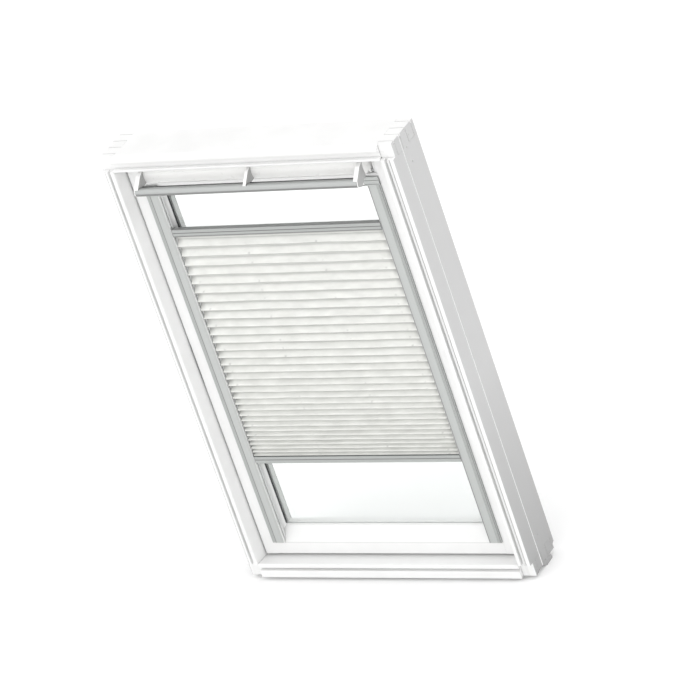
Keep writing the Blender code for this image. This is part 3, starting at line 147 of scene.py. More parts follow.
def lumps(finish, per_metre, detail=2.0):
    """Noise with its own count of lumps a metre along X, Y and Z, fixed to the piece."""
    tree = finish.node_tree
    place = tree.nodes.new("ShaderNodeTexCoord")
    stretch = tree.nodes.new("ShaderNodeMapping")
    stretch.inputs["Scale"].default_value = per_metre
    field = tree.nodes.new("ShaderNodeTexNoise")
    field.inputs["Scale"].default_value = 1.0
    field.inputs["Detail"].default_value = detail
    tree.links.new(place.outputs["Object"], stretch.inputs["Vector"])
    tree.links.new(stretch.outputs["Vector"], field.inputs["Vector"])
    return field.outputs["Fac"]


def between(finish, field, low, high):
    """The field's usual spread taken to a range of its own."""
    tree = finish.node_tree
    spread = tree.nodes.new("ShaderNodeMapRange")
    spread.inputs["From Min"].default_value = NOISE_LOW
    spread.inputs["From Max"].default_value = NOISE_HIGH
    spread.inputs["To Min"].default_value = low
    spread.inputs["To Max"].default_value = high
    tree.links.new(field, spread.inputs["Value"])
    return spread.outputs["Result"]


def vary_roughness(finish, field, low, high):
    """Rougher where the field is high."""
    shader = finish.node_tree.nodes["Principled BSDF"]
    finish.node_tree.links.new(between(finish, field, low, high), shader.inputs["Roughness"])


def mix_colour(finish, share, first, second):
    """Two colours mixed by a share. The first may be None, for what the finish has so far."""
    tree = finish.node_tree
    base = tree.nodes["Principled BSDF"].inputs["Base Color"]
    mix = tree.nodes.new("ShaderNodeMix")
    mix.data_type = "RGBA"
    under, over = [socket for socket in mix.inputs if socket.type == "RGBA"]
    if first is not None:
        under.default_value = (*first, 1.0)
    elif base.is_linked:
        tree.links.new(base.links[0].from_socket, under)
    else:
        under.default_value = base.default_value
    over.default_value = (*second, 1.0)
    tree.links.new(share, mix.inputs["Factor"])
    mixed = [socket for socket in mix.outputs if socket.type == "RGBA"][0]
    tree.links.new(mixed, base)


def vary_colour(finish, field, dark, light):
    """Lighter where the field is high."""
    mix_colour(finish, between(finish, field, 0.0, 1.0), dark, light)


def add_relief(finish, field, height, strength=1.0):
    """Bump of a real height, laid over any relief that the finish has already."""
    tree = finish.node_tree
    normal = tree.nodes["Principled BSDF"].inputs["Normal"]
    relief = tree.nodes.new("ShaderNodeBump")
    relief.inputs["Distance"].default_value = height
    relief.inputs["Strength"].default_value = strength
    tree.links.new(field, relief.inputs["Height"])
    if normal.is_linked:
        tree.links.new(normal.links[0].from_socket, relief.inputs["Normal"])
    tree.links.new(relief.outputs["Normal"], normal)


def place_along(finish, axis):
    """Where a spot of the piece lies along an axis, in metres."""
    tree = finish.node_tree
    place = tree.nodes.new("ShaderNodeTexCoord")
    apart = tree.nodes.new("ShaderNodeSeparateXYZ")
    tree.links.new(place.outputs["Object"], apart.inputs["Vector"])
    return apart.outputs[axis]


def way_off(finish, axis, middle=0.0):
    """How far a spot lies from a plane across an axis, on either side of it."""
    tree = finish.node_tree
    shift = tree.nodes.new("ShaderNodeMath")
    shift.operation = "SUBTRACT"
    shift.inputs[1].default_value = middle
    size = tree.nodes.new("ShaderNodeMath")
    size.operation = "ABSOLUTE"
    tree.links.new(place_along(finish, axis), shift.inputs[0])
    tree.links.new(shift.outputs["Value"], size.inputs[0])
    return size.outputs["Value"]


def fade(finish, field, start, end, most=1.0):
    """0 where a field is at start, rising to most where it is at end."""
    tree = finish.node_tree
    ramp = tree.nodes.new("ShaderNodeMapRange")
    ramp.inputs["From Min"].default_value = start
    ramp.inputs["From Max"].default_value = end
    ramp.inputs["To Max"].default_value = most
    tree.links.new(field, ramp.inputs["Value"])
    return ramp.outputs["Result"]


def both(finish, first, second):
    """The product of two shares."""
    product = finish.node_tree.nodes.new("ShaderNodeMath")
    product.operation = "MULTIPLY"
    finish.node_tree.links.new(first, product.inputs[0])
    finish.node_tree.links.new(second, product.inputs[1])
    return product.outputs["Value"]


def within(finish, field, low, high, soft):
    """1 between two values of a field, falling to 0 over a soft edge past each."""
    above_low = fade(finish, field, low - soft, low)
    below_high = fade(finish, field, high + soft, high)
    return both(finish, above_low, below_high)


def near_plane(finish, axis, middle, half, soft):
    """1 within half a width of a plane across an axis, falling to 0 over a soft edge."""
    return fade(finish, way_off(finish, axis, middle), half + soft, half)


def paint_crevice_shade(finish, reach, crevice_shade, open_at, shut_at):
    """Mix in a painted shade where a spot lies deep between other faces."""
    openness = finish.node_tree.nodes.new("ShaderNodeAmbientOcclusion")
    openness.samples = CREVICE_SHADE_SAMPLES
    openness.inputs["Distance"].default_value = reach
    mix_colour(finish, fade(finish, openness.outputs["AO"], open_at, shut_at), None, crevice_shade)


def paint_shade_on_outer_sides(finish):
    """Painted shade on the outer sides, and more of it toward the foot."""
    on_side = fade(finish, way_off(finish, "X"), outer_side - SKIN, outer_side - SOFT_EDGE)
    toward_foot = fade(finish, place_along(finish, "Z"), SIDE_SHADE_TOP, 0.0)
    mix_colour(finish, on_side, None, OUTER_SIDE_SHADE)
    mix_colour(finish, both(finish, on_side, toward_foot), None, SIDE_FOOT_SHADE)


def paint_shade_on_mouldings(finish):
    """Painted shade in the grooves of the lips, on a band of the lips' faces, in the groove under the
    top lip, and along the arris of the sash's face.
    """
    across = place_along(finish, "X")
    depth = place_along(finish, "Y")
    groove_outer = outer_side - SIDE_LIP
    groove_inner = groove_outer - SIDE_GROOVE
    band_outer = outer_side - LIP_STEP
    lip_skin = lip_front + SKIN
    block_foot = frame_head - TOP_BLOCK
    on_front = fade(finish, depth, lip_skin + HALF_SKIN, lip_skin - HALF_SKIN)
    in_lip = within(finish, depth, lip_skin + HALF_SKIN, lip_front + GROOVE_BACK, SKIN)
    height = place_along(finish, "Z")
    under_block = fade(finish, height, block_foot + SHADE_HALF, block_foot - SHADE_HALF)

    in_groove = both(finish, within(finish, across, groove_inner, groove_outer, SOFT_EDGE), in_lip)
    mix_colour(finish, both(finish, in_groove, under_block), None, GROOVE_SHADE)

    band_inner = groove_outer + BAND_SETBACK
    in_band = both(finish, within(finish, across, band_inner, band_outer, SOFT_EDGE), on_front)
    mix_colour(finish, both(finish, in_band, under_block), None, BAND_SHADE)

    between_lips = near_plane(finish, "X", 0.0, groove_inner - SKIN, SKIN)
    in_top_groove = near_plane(finish, "Z", frame_head - TOP_SHADE_DROP, SHADE_HALF, SHADE_HALF)
    in_shade = both(finish, between_lips, in_top_groove)
    mix_colour(finish, both(finish, in_shade, in_lip), None, GROOVE_SHADE)

    between_stiles = near_plane(finish, "X", 0.0, sash_reach.x - ARRIS_END, HALF_SKIN)
    on_arris = near_plane(finish, "Z", sash_foot.z + SASH_FACE, ARRIS_HALF, ARRIS_HALF)
    mix_colour(finish, both(finish, between_stiles, on_arris), None, BAND_SHADE)


def paint_light_on_bead_and_cuts(finish):
    """Painted highlight along the bead of each outer side, and painted light in the fine cuts of the
    comb there, against their shade.
    """
    off_centre = way_off(finish, "X")
    near_side = fade(finish, off_centre, outer_side - SIDE_RIM - SKIN, outer_side - SIDE_RIM)
    in_bead = near_plane(finish, "Y", lip_front + BEAD_BACK, BEAD_HALF, SOFT_EDGE)
    mix_colour(finish, both(finish, in_bead, near_side), None, BEAD_AND_CUT_LIGHT)

    tick_foot = frame_head - TICK_FOOT
    below_ticks = fade(finish, place_along(finish, "Z"), tick_foot + HALF_SKIN, tick_foot - HALF_SKIN)
    in_cut = fade(finish, off_centre, outer_side - CUT_MOUTH, outer_side - CUT_INSIDE)
    in_side_cut = both(finish, both(finish, near_side, in_cut), below_ticks)
    mix_colour(finish, in_side_cut, None, BEAD_AND_CUT_LIGHT)


def lacquered(axis):
    """White lacquer over wood whose grain runs along an axis."""
    finish = new_finish(f"white lacquer, grain along {axis}", LACQUER, LACQUER_ROUGHNESS)
    grain_lumps = [GRAIN_ALONG if name == axis else GRAIN_ACROSS for name in "XYZ"]
    grain = lumps(finish, grain_lumps, detail=3.0)
    peel = lumps(finish, [PEEL] * 3, detail=1.0)
    cloud = lumps(finish, [CLOUDS] * 3)
    vary_colour(finish, cloud, DULL_LACQUER, CLEAN_LACQUER)
    # Painted shade on the outer sides, in the grooves and deep between faces, and painted light on
    # the bead and in the comb's cuts.
    paint_shade_on_outer_sides(finish)
    paint_shade_on_mouldings(finish)
    paint_crevice_shade(finish, CREVICE_SHADE_REACH, JOINT_SHADE, open_at=0.8, shut_at=0.25)
    paint_light_on_bead_and_cuts(finish)
    smoothest = LACQUER_ROUGHNESS - LACQUER_SMOOTHER
    roughest = LACQUER_ROUGHNESS + LACQUER_ROUGHER
    vary_roughness(finish, cloud, smoothest, roughest)
    add_relief(finish, grain, GRAIN_HEIGHT, strength=0.35)
    add_relief(finish, peel, PEEL_HEIGHT, strength=0.3)
    return finish


def soften(piece, width, segments=2):
    """Join the faces that the model holds apart, and ease the edges."""
    weld = piece.modifiers.new("joined faces", "WELD")
    weld.merge_threshold = WELD_GAP
    ease = piece.modifiers.new("eased edges", "BEVEL")
    ease.width = width
    ease.segments = segments
    ease.limit_method = "ANGLE"
    ease.angle_limit = math.radians(EASED_ANGLE)
    ease.harden_normals = False


def dress(names, finish, eased=0.0, segments=2):
    """Give nodes a finish of their own and, where eased, soft edges."""
    for name in names:
        piece = nodes[name]
        piece.data.materials.clear()
        piece.data.materials.append(finish)
        if eased > 0.0:
            soften(piece, eased, segments)


lacquer_along_x = lacquered("X")
lacquer_along_z = lacquered("Z")
dress(["frame_top", "frame_bottom"], lacquer_along_x, EASED_EDGE)
dress(["frame_left", "frame_right"], lacquer_along_z, EASED_EDGE)


# The weather side is covered by folded aluminium sheet, 1.5 mm thick, with a matt dark
# grey coating: two side covers, a top casing and a sill cover on the frame.
SHEET_GREY = (0.085, 0.09, 0.095)
DARK_SHEET = (0.08, 0.085, 0.09)
PALE_SHEET = (0.095, 0.1, 0.105)
SHEET_CLOUDS = 20.0
SHEET_PATCHES = 60.0
SHEET_GRIT = 2500.0
SHEET_GRIT_HEIGHT = 0.00004
SHEET_EDGE = 0.0003

coated_sheet = new_finish("matt grey coated sheet", SHEET_GREY, roughness=0.48, Metallic=0.35)
vary_colour(coated_sheet, lumps(coated_sheet, [SHEET_CLOUDS] * 3), DARK_SHEET, PALE_SHEET)
vary_roughness(coated_sheet, lumps(coated_sheet, [SHEET_PATCHES] * 3), low=0.42, high=0.55)
sheet_grit = lumps(coated_sheet, [SHEET_GRIT] * 3, detail=1.0)
add_relief(coated_sheet, sheet_grit, SHEET_GRIT_HEIGHT, strength=0.4)
frame_covers = ["frame_cover_left", "frame_cover_right", "top_casing", "sill_cover"]
dress(frame_covers, coated_sheet, SHEET_EDGE, segments=1)


# The covers are held by pan-head screws of stainless steel with six-lobed recesses, a row
# of them along every cover. The same screws hold the covers of the sash farther down.
SCREW_RADIUS = 0.0036
SCREW_HEIGHT = 0.0016
RECESS_DEPTH = 0.0011
RECESS_LOBE = 0.2
RECESS_LOBES = 6
# Radius and height of each ring of the head, as shares of the two sizes above.
HEAD_RINGS = ((1.0, 0.0), (1.0, 0.35), (0.93, 0.68), (0.78, 0.88), (0.56, 1.0))
RECESS_MOUTH = 0.36
RECESS_FLOOR = 0.34
HEAD_SIDES = 24
SHARP_ANGLE = 40
STAINLESS = (0.55, 0.555, 0.56)
STEEL_PATCHES = 300.0
STEEL_GRIT = 5000.0
STEEL_GRIT_HEIGHT = 0.00001
COVER_SCREW_HEIGHTS = (0.08, 0.35, 0.62, 0.89, 1.10)
CASING_SCREW_PLACES = (-0.33, -0.11, 0.11, 0.33)

stainless = new_finish("stainless screw steel", STAINLESS, roughness=0.3, Metallic=0.9)
vary_roughness(stainless, lumps(stainless, [STEEL_PATCHES] * 3), low=0.24, high=0.4)
add_relief(stainless, lumps(stainless, [STEEL_GRIT] * 3), STEEL_GRIT_HEIGHT, strength=0.4)


def add_screws(name, body, face_y, spots):
    """Screw heads on a face that looks to the weather, at each (x, z)."""
    heads = bmesh.new()
    for x, z in spots:
        rings = []
        profile = [(SCREW_RADIUS * wide, SCREW_HEIGHT * high, 0.0) for wide, high in HEAD_RINGS]
        profile.append((SCREW_RADIUS * RECESS_MOUTH, SCREW_HEIGHT, RECESS_LOBE))
        profile.append((SCREW_RADIUS * RECESS_FLOOR, SCREW_HEIGHT - RECESS_DEPTH, RECESS_LOBE))
        for radius, height, lobed in profile:
            ring = []
            for side in range(HEAD_SIDES):
                turn = math.tau * side / HEAD_SIDES
                reach = radius * (1.0 + lobed * math.cos(RECESS_LOBES * turn))
                corner = (x + reach * math.cos(turn), face_y + height, z - reach * math.sin(turn))
                ring.append(heads.verts.new(corner))
            rings.append(ring)
        for lower, upper in zip(rings, rings[1:]):
            for side in range(HEAD_SIDES):
                after = (side + 1) % HEAD_SIDES
                heads.faces.new((lower[side], lower[after], upper[after], upper[side]))
        heads.faces.new(list(reversed(rings[0])))
        heads.faces.new(rings[-1])
    bmesh.ops.recalc_face_normals(heads, faces=heads.faces)
    mesh = bpy.data.meshes.new(name)
    heads.to_mesh(mesh)
    heads.free()
    mesh.shade_smooth()
    mesh.set_sharp_from_angle(angle=math.radians(SHARP_ANGLE))
    mesh.materials.append(stainless)
    screws = bpy.data.objects.new(name, mesh)
    bpy.context.scene.collection.objects.link(screws)
    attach(screws, body)


cover_low, cover_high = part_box("frame_cover_right")
casing_low, casing_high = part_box("top_casing")
cover_middle = (cover_low.x + cover_high.x) / 2
casing_middle = (casing_low.z + casing_high.z) / 2
cover_spots = [(side * cover_middle, z) for side in (-1, 1) for z in COVER_SCREW_HEIGHTS]
casing_spots = [(x, casing_middle) for x in CASING_SCREW_PLACES]
add_screws("frame_cover_screws", "outer_frame", cover_high.y, cover_spots + casing_spots)


# A ring of black rubber in the gap between frame and sash keeps the weather out. It is
# an extruded profile with a dull, slightly grainy skin.
RUBBER_BLACK = (0.035, 0.035, 0.037)
RUBBER_PATCHES = 160.0
RUBBER_GRIT = 1800.0
RUBBER_GRIT_HEIGHT = 0.00003

rubber = new_finish("black sealing rubber", RUBBER_BLACK, roughness=0.68)
vary_roughness(rubber, lumps(rubber, [RUBBER_PATCHES] * 3), low=0.6, high=0.8)
add_relief(rubber, lumps(rubber, [RUBBER_GRIT] * 3), RUBBER_GRIT_HEIGHT, strength=0.5)
dress(["frame_seal"], rubber)


# Pivot hinges, pressed from zinc-plated steel: a plate with its pin let into each side
# member of the frame, and an arm with the bore let into each stile of the sash.
PLATED_STEEL = (0.62, 0.63, 0.64)
PLATING_PATCHES = 90.0
ROLLED_ACROSS = 1400.0
ROLLED_ALONG = 60.0
ROLLED_HEIGHT = 0.00002
HINGE_EDGE = 0.0003

plated_steel = new_finish("zinc-plated steel", PLATED_STEEL, roughness=0.34, Metallic=1.0)
vary_roughness(plated_steel, lumps(plated_steel, [PLATING_PATCHES] * 3), low=0.26, high=0.42)
rolled_lines = lumps(plated_steel, (ROLLED_ACROSS, ROLLED_ACROSS, ROLLED_ALONG))
add_relief(plated_steel, rolled_lines, ROLLED_HEIGHT, strength=0.5)
hinge_pieces = [f"hinge_{half}_{side}" for half in ("plate", "arm") for side in ("left", "right")]
dress(hinge_pieces, plated_steel, HINGE_EDGE, segments=1)


# The lock at the top: a case in the sash with its bolt, and a striker plate in the frame,
# of the same plated steel, as are the two pins on which the ventilation flap turns.
LOCK_EDGE = 0.0002

dress(["striker_plate", "lock_case", "lock_bolt"], plated_steel, LOCK_EDGE, segments=1)
dress(["flap_pin_left", "flap_pin_right"], plated_steel, LOCK_EDGE, segments=1)


# The sash is four pine members in the same white lacquer, with a slope down to the glass.
# Its top and bottom members butt against the stiles along a fine line.
dress(["sash_top", "sash_bottom"], lacquer_along_x, EASED_EDGE)
dress(["sash_left", "sash_right"], lacquer_along_z, EASED_EDGE)


# Sealed glass unit: two panes of float glass, 4 mm thick and very slightly green, held
# apart by a bright aluminium spacer and bedded on a grey gasket. Along the foot of the
# unit both are painted white, as painted light that falls on them from above.
GLASS_TINT = (0.984, 0.994, 0.989)
GLASS_SHADE = (0.96, 0.975, 0.968)
GLASS_IOR = 1.5
SPACER_SILVER = (0.78, 0.785, 0.78)
SPACER_PATCHES = 120.0
SPACER_GRIT = 2600.0
SPACER_GRIT_HEIGHT = 0.000004
GASKET_GREY = (0.07, 0.07, 0.073)
GASKET_PATCHES = 200.0
GASKET_GRIT = 1500.0
GASKET_GRIT_HEIGHT = 0.00003
FOOT_PAINTED_LIGHT = (0.93, 0.93, 0.925)
SPACER_FOOT = 0.018
GASKET_FOOT = 0.014
FOOT_SOFT = 0.004

clear_glass = new_finish(
    "clear float glass", GLASS_TINT, roughness=0.0, Transmission_Weight=1.0, IOR=GLASS_IOR
)
tree = clear_glass.node_tree
surface = tree.nodes["Material Output"]
lamp_path = tree.nodes.new("ShaderNodeLightPath")
let_through = tree.nodes.new("ShaderNodeBsdfTransparent")
let_through.inputs["Color"].default_value = (*GLASS_SHADE, 1.0)
lamps_pass = tree.nodes.new("ShaderNodeMixShader")
tree.links.new(lamp_path.outputs["Is Shadow Ray"], lamps_pass.inputs[0])
tree.links.new(tree.nodes["Principled BSDF"].outputs["BSDF"], lamps_pass.inputs[1])
tree.links.new(let_through.outputs["BSDF"], lamps_pass.inputs[2])
tree.links.new(lamps_pass.outputs["Shader"], surface.inputs["Surface"])
dress(["inner_pane", "outer_pane"], clear_glass)

unit_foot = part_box("glazing_gasket")[0].z


def paint_light_on_foot(finish, rise):
    """Painted light: white on the strip along the foot of the glass unit, up to a height above it."""
    top = unit_foot + rise
    mix_colour(finish, fade(finish, place_along(finish, "Z"), top + FOOT_SOFT, top), None, FOOT_PAINTED_LIGHT)


spacer_metal = new_finish("bright spacer aluminium", SPACER_SILVER, roughness=0.42, Metallic=0.45)
vary_roughness(spacer_metal, lumps(spacer_metal, [SPACER_PATCHES] * 3), low=0.38, high=0.46)
add_relief(spacer_metal, lumps(spacer_metal, [SPACER_GRIT] * 3), SPACER_GRIT_HEIGHT, strength=0.3)
# Painted light along the foot of the spacer.
paint_light_on_foot(spacer_metal, SPACER_FOOT)
dress(["pane_spacer"], spacer_metal)

grey_gasket = new_finish("grey glazing gasket", GASKET_GREY, roughness=0.6)
vary_roughness(grey_gasket, lumps(grey_gasket, [GASKET_PATCHES] * 3), low=0.55, high=0.7)
add_relief(grey_gasket, lumps(grey_gasket, [GASKET_GRIT] * 3), GASKET_GRIT_HEIGHT, strength=0.5)
# Painted light along the foot of the gasket.
paint_light_on_foot(grey_gasket, GASKET_FOOT)
dress(["glazing_gasket"], grey_gasket)


# The sash has covers of the same grey sheet, folded to angles whose inner leg clamps the
# glass. Each is screwed down along its middle.
SASH_SCREW_HEIGHTS = (0.16, 0.44, 0.73, 1.02)
SASH_SCREW_PLACES = (-0.19, 0.0, 0.19)

sash_covers = [f"sash_cover_{edge}" for edge in ("left", "right", "bottom", "top")]
dress(sash_covers, coated_sheet, SHEET_EDGE, segments=1)
leg_low, leg_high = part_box("sash_cover_right")
foot_low, foot_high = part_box("sash_cover_bottom")
head_low, head_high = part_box("sash_cover_top")
leg_middle = (leg_low.x + leg_high.x) / 2
leg_spots = [(side * leg_middle, z) for side in (-1, 1) for z in SASH_SCREW_HEIGHTS]
foot_spots = [(x, (foot_low.z + foot_high.z) / 2) for x in SASH_SCREW_PLACES]
head_spots = [(x, (head_low.z + head_high.z) / 2) for x in SASH_SCREW_PLACES]
add_screws("sash_cover_screws", "sash", leg_high.y, leg_spots + foot_spots + head_spots)


# Two strips of open grey foam, pushed into slots behind the flap, filter the air that
# comes in there.
FOAM_GREY = (0.16, 0.16, 0.17)
FOAM_PORE = (0.08, 0.08, 0.085)
FOAM_WALL = (0.24, 0.24, 0.25)
PORES_SEEN = 900.0
PORES_FELT = 1200.0
PORE_DEPTH = 0.0004

filter_foam = new_finish("grey filter foam", FOAM_GREY, roughness=0.95)
vary_colour(filter_foam, lumps(filter_foam, [PORES_SEEN] * 3, detail=3.0), FOAM_PORE, FOAM_WALL)
add_relief(filter_foam, lumps(filter_foam, [PORES_FELT] * 3, detail=3.0), PORE_DEPTH)
dress(["air_filter_left", "air_filter_right"], filter_foam)


# Ventilation flap along the top of the sash: a hollow profile of white plastic with a
# satin skin, hung on two pins. Painted shade lies where it meets the sash and deep between its faces.
MOULDED_WHITE = (0.92, 0.92, 0.905)
MOULDED_DULL = (0.91, 0.908, 0.893)
MOULDED_CLEAN = (0.93, 0.928, 0.915)
FLAP_CREVICE_SHADE = (0.4, 0.4, 0.395)
FLAP_SHADE_REACH = 0.004
MOULDED_CLOUDS = 10.0
MOULDED_PATCHES = 70.0
PLASTIC_GRAIN = 1600.0
PLASTIC_GRAIN_HEIGHT = 0.00002
FLAP_EDGE = 0.0004

moulded_white = new_finish("white moulded plastic", MOULDED_WHITE, roughness=0.3, Coat_Weight=0.15)
vary_colour(moulded_white, lumps(moulded_white, [MOULDED_CLOUDS] * 3), MOULDED_DULL, MOULDED_CLEAN)
vary_roughness(moulded_white, lumps(moulded_white, [MOULDED_PATCHES] * 3), low=0.26, high=0.36)
moulded_grain = lumps(moulded_white, [PLASTIC_GRAIN] * 3, detail=1.0)
add_relief(moulded_white, moulded_grain, PLASTIC_GRAIN_HEIGHT, strength=0.4)
# Painted shade deep between faces.
paint_crevice_shade(moulded_white, FLAP_SHADE_REACH, FLAP_CREVICE_SHADE, open_at=0.5, shut_at=0.2)
dress(["vent_flap"], moulded_white, FLAP_EDGE)


# Three brackets of white moulded plastic stand on the flap and carry the control bar.
# Their flanks are painted darker than their narrow faces, as painted shade, and painted shade lies
# deep between faces.
BRACKET_WHITE = (0.86, 0.86, 0.85)
BRACKET_FLANK_SHADE = (0.42, 0.42, 0.418)
BRACKET_CREVICE_SHADE = (0.3, 0.3, 0.295)
BRACKET_SHADE_REACH = 0.006
BRACKET_PATCHES = 80.0
BRACKET_EDGE = 0.0005
# How squarely a face looks along X where it starts to count as a flank, and where it is one.
FLANK_STARTS = 0.6
FLANK_FULL = 0.9


def paint_shade_on_flanks(finish, colour):
    """Paint shade on the faces that look along X, in a colour of their own."""
    tree = finish.node_tree
    place = tree.nodes.new("ShaderNodeTexCoord")
    apart = tree.nodes.new("ShaderNodeSeparateXYZ")
    size = tree.nodes.new("ShaderNodeMath")
    size.operation = "ABSOLUTE"
    tree.links.new(place.outputs["Normal"], apart.inputs["Vector"])
    tree.links.new(apart.outputs["X"], size.inputs[0])
    squarely = fade(finish, size.outputs["Value"], FLANK_STARTS, FLANK_FULL)
    mix_colour(finish, squarely, None, colour)


bracket_white = new_finish("white bracket plastic", BRACKET_WHITE, roughness=0.36)
# Painted shade on the flanks.
paint_shade_on_flanks(bracket_white, BRACKET_FLANK_SHADE)
vary_roughness(bracket_white, lumps(bracket_white, [BRACKET_PATCHES] * 3), low=0.3, high=0.42)
bracket_grain = lumps(bracket_white, [PLASTIC_GRAIN] * 3, detail=1.0)
add_relief(bracket_white, bracket_grain, PLASTIC_GRAIN_HEIGHT, strength=0.4)
# Painted shade deep between faces.
paint_crevice_shade(bracket_white, BRACKET_SHADE_REACH, BRACKET_CREVICE_SHADE, open_at=0.7, shut_at=0.2)
brackets = [f"bar_bracket_{place}" for place in ("left", "middle", "right")]
dress(brackets, bracket_white, BRACKET_EDGE)


# The control bar is an aluminium extrusion, brushed along its length and anodised. It
# runs across all three brackets, and has painted shade toward the flap and under its rim.
BAR_LIGHT = (0.465, 0.477, 0.47)
BAR_PAINTED_SHADE = (0.22, 0.224, 0.22)
BAR_SHADE_FRONT = 0.007
BAR_SHADE_BACK = 0.020
BAR_SHADE_MOST = 0.85
BAR_UNDER = 0.006
BAR_UNDER_SOFT = 0.0025
BAR_EDGE = 0.0003
BRUSH_METALLIC = 0.6
BRUSH_ALONG = 4.0
BRUSH_ACROSS = 2600.0
BRUSH_DEPTH = 0.00001
STREAK_SHARE = 0.35
STREAK_DARKER = 0.85
METAL_SHADE_SHARE = 0.3
METAL_SHADE_REACH = 0.004


def brushed(name, axis, colour, low, high):
    """Anodised aluminium, brushed along an axis."""
    finish = new_finish(name, colour, (low + high) / 2, Metallic=BRUSH_METALLIC)
    line_lumps = [BRUSH_ALONG if across == axis else BRUSH_ACROSS for across in "XYZ"]
    lines = lumps(finish, line_lumps)
    vary_roughness(finish, lines, low, high)
    add_relief(finish, lines, BRUSH_DEPTH, strength=0.35)
    streak = [STREAK_DARKER * part for part in colour]
    mix_colour(finish, between(finish, lines, 0.0, STREAK_SHARE), colour, streak)
    # Painted shade deep between faces.
    crevice_shade = [METAL_SHADE_SHARE * part for part in colour]
    paint_crevice_shade(finish, METAL_SHADE_REACH, crevice_shade, open_at=0.8, shut_at=0.3)
    return finish


bar_metal = brushed("anodised bar", "X", BAR_LIGHT, low=0.28, high=0.42)
bar_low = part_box("control_bar")[0]
bar_depth = place_along(bar_metal, "Y")
bar_height = place_along(bar_metal, "Z")
# Painted shade toward the flap and under the rim.
shade_toward_flap = fade(
    bar_metal, bar_depth, bar_low.y + BAR_SHADE_FRONT, bar_low.y + BAR_SHADE_BACK, BAR_SHADE_MOST
)
mix_colour(bar_metal, shade_toward_flap, None, BAR_PAINTED_SHADE)
under_top = bar_low.z + BAR_UNDER
shade_under_rim = fade(bar_metal, bar_height, under_top + BAR_UNDER_SOFT, under_top)
mix_colour(bar_metal, shade_under_rim, None, BAR_PAINTED_SHADE)
dress(["control_bar"], bar_metal, BAR_EDGE, segments=1)


# Side channels of the blind: anodised aluminium extrusions screwed to the stiles, each
# with a ribbed end cap at its top. Fine lines of painted shade run where their edges turn, each face
# is painted darker away from its crown, and the inner flank has painted light.
CHANNEL_LIGHT = (0.51, 0.525, 0.515)
CHANNEL_EDGE_SHADE = (0.455, 0.465, 0.458)
CHANNEL_LINE_SHADE = (0.25, 0.252, 0.25)
CHANNEL_FLANK_LIGHT = (0.78, 0.785, 0.78)
CROWN_SHARE = 0.4
FACE_SHARE = 0.97
FLANK_THICK = 0.0004
FLANK_SOFT = 0.0008
LEFT_LINE_IN = 0.0097
INNER_LINE_IN = 0.0014
OUTER_LINE_IN = 0.0017
LINE_HALF = 0.0006
LINE_SOFT = 0.001
CAP_EDGE = 0.0002

channel_metal = brushed("anodised channel", "Z", CHANNEL_LIGHT, low=0.34, high=0.48)
channel_low, channel_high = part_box("blind_channel_right")
channel_middle = (channel_low.x + channel_high.x) / 2
half_width = (channel_high.x - channel_low.x) / 2
# Painted shade on each face away from its crown.
for side in (1, -1):
    off_crown = way_off(channel_metal, "X", side * channel_middle)
    on_face = fade(channel_metal, off_crown, half_width, half_width * FACE_SHARE)
    off_middle = fade(channel_metal, off_crown, half_width * CROWN_SHARE, half_width)
    mix_colour(channel_metal, both(channel_metal, on_face, off_middle), None, CHANNEL_EDGE_SHADE)
# Painted light on the inner flank.
flank = near_plane(channel_metal, "X", 0.0, channel_low.x + FLANK_THICK, FLANK_SOFT)
mix_colour(channel_metal, flank, None, CHANNEL_FLANK_LIGHT)
# Fine lines of painted shade where the edges turn.
left_line = LEFT_LINE_IN - channel_high.x
for line in (left_line, channel_low.x + INNER_LINE_IN, channel_high.x - OUTER_LINE_IN):
    on_line = near_plane(channel_metal, "X", line, LINE_HALF, LINE_SOFT)
    mix_colour(channel_metal, on_line, None, CHANNEL_LINE_SHADE)
dress(["blind_channel_left", "blind_channel_right"], channel_metal)
cap_metal = brushed("anodised cap", "X", CHANNEL_LIGHT, low=0.34, high=0.48)
dress(["channel_cap_left", "channel_cap_right"], cap_metal, CAP_EDGE, segments=1)


# The blind's two rails are hollow extrusions of the same metal, with painted shade in the groove
# along the face, in the recess at the foot of the top rail and on the top. White moulded sliders in
# their ends run in the channels.
RAIL_LIGHT = (0.425, 0.44, 0.43)
RAIL_PAINTED_SHADE = (0.24, 0.242, 0.24)
RAIL_TOP_SHADE = (0.40, 0.403, 0.40)
RAIL_GROOVE_HALF = 0.0009
RAIL_SOFT = 0.0006
RAIL_TOP_START = 0.001
RAIL_TOP_END = 0.0002
# Each rail with the height of its groove and of its recess above the rail's own foot.
RAILS = (("top_rail", 0.0115, 0.0048), ("bottom_rail", 0.0095, 0.0))

for rail, groove_up, recess_up in RAILS:
    rail_metal = brushed(f"anodised {rail}", "X", RAIL_LIGHT, low=0.3, high=0.44)
    rail_low, rail_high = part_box(rail)
    height_up = place_along(rail_metal, "Z")
    # Painted shade in the groove, in the recess and on the top.
    in_groove = near_plane(rail_metal, "Z", rail_low.z + groove_up, RAIL_GROOVE_HALF, RAIL_SOFT)
    mix_colour(rail_metal, in_groove, None, RAIL_PAINTED_SHADE)
    recess_top = rail_low.z + recess_up
    in_recess = fade(rail_metal, height_up, recess_top, recess_top - RAIL_SOFT)
    mix_colour(rail_metal, in_recess, None, RAIL_PAINTED_SHADE)
    on_top = fade(rail_metal, height_up, rail_high.z - RAIL_TOP_START, rail_high.z - RAIL_TOP_END)
    mix_colour(rail_metal, on_top, None, RAIL_TOP_SHADE)
    dress([rail], rail_metal)
    dress([f"{rail}_slider_left", f"{rail}_slider_right"], moulded_white)


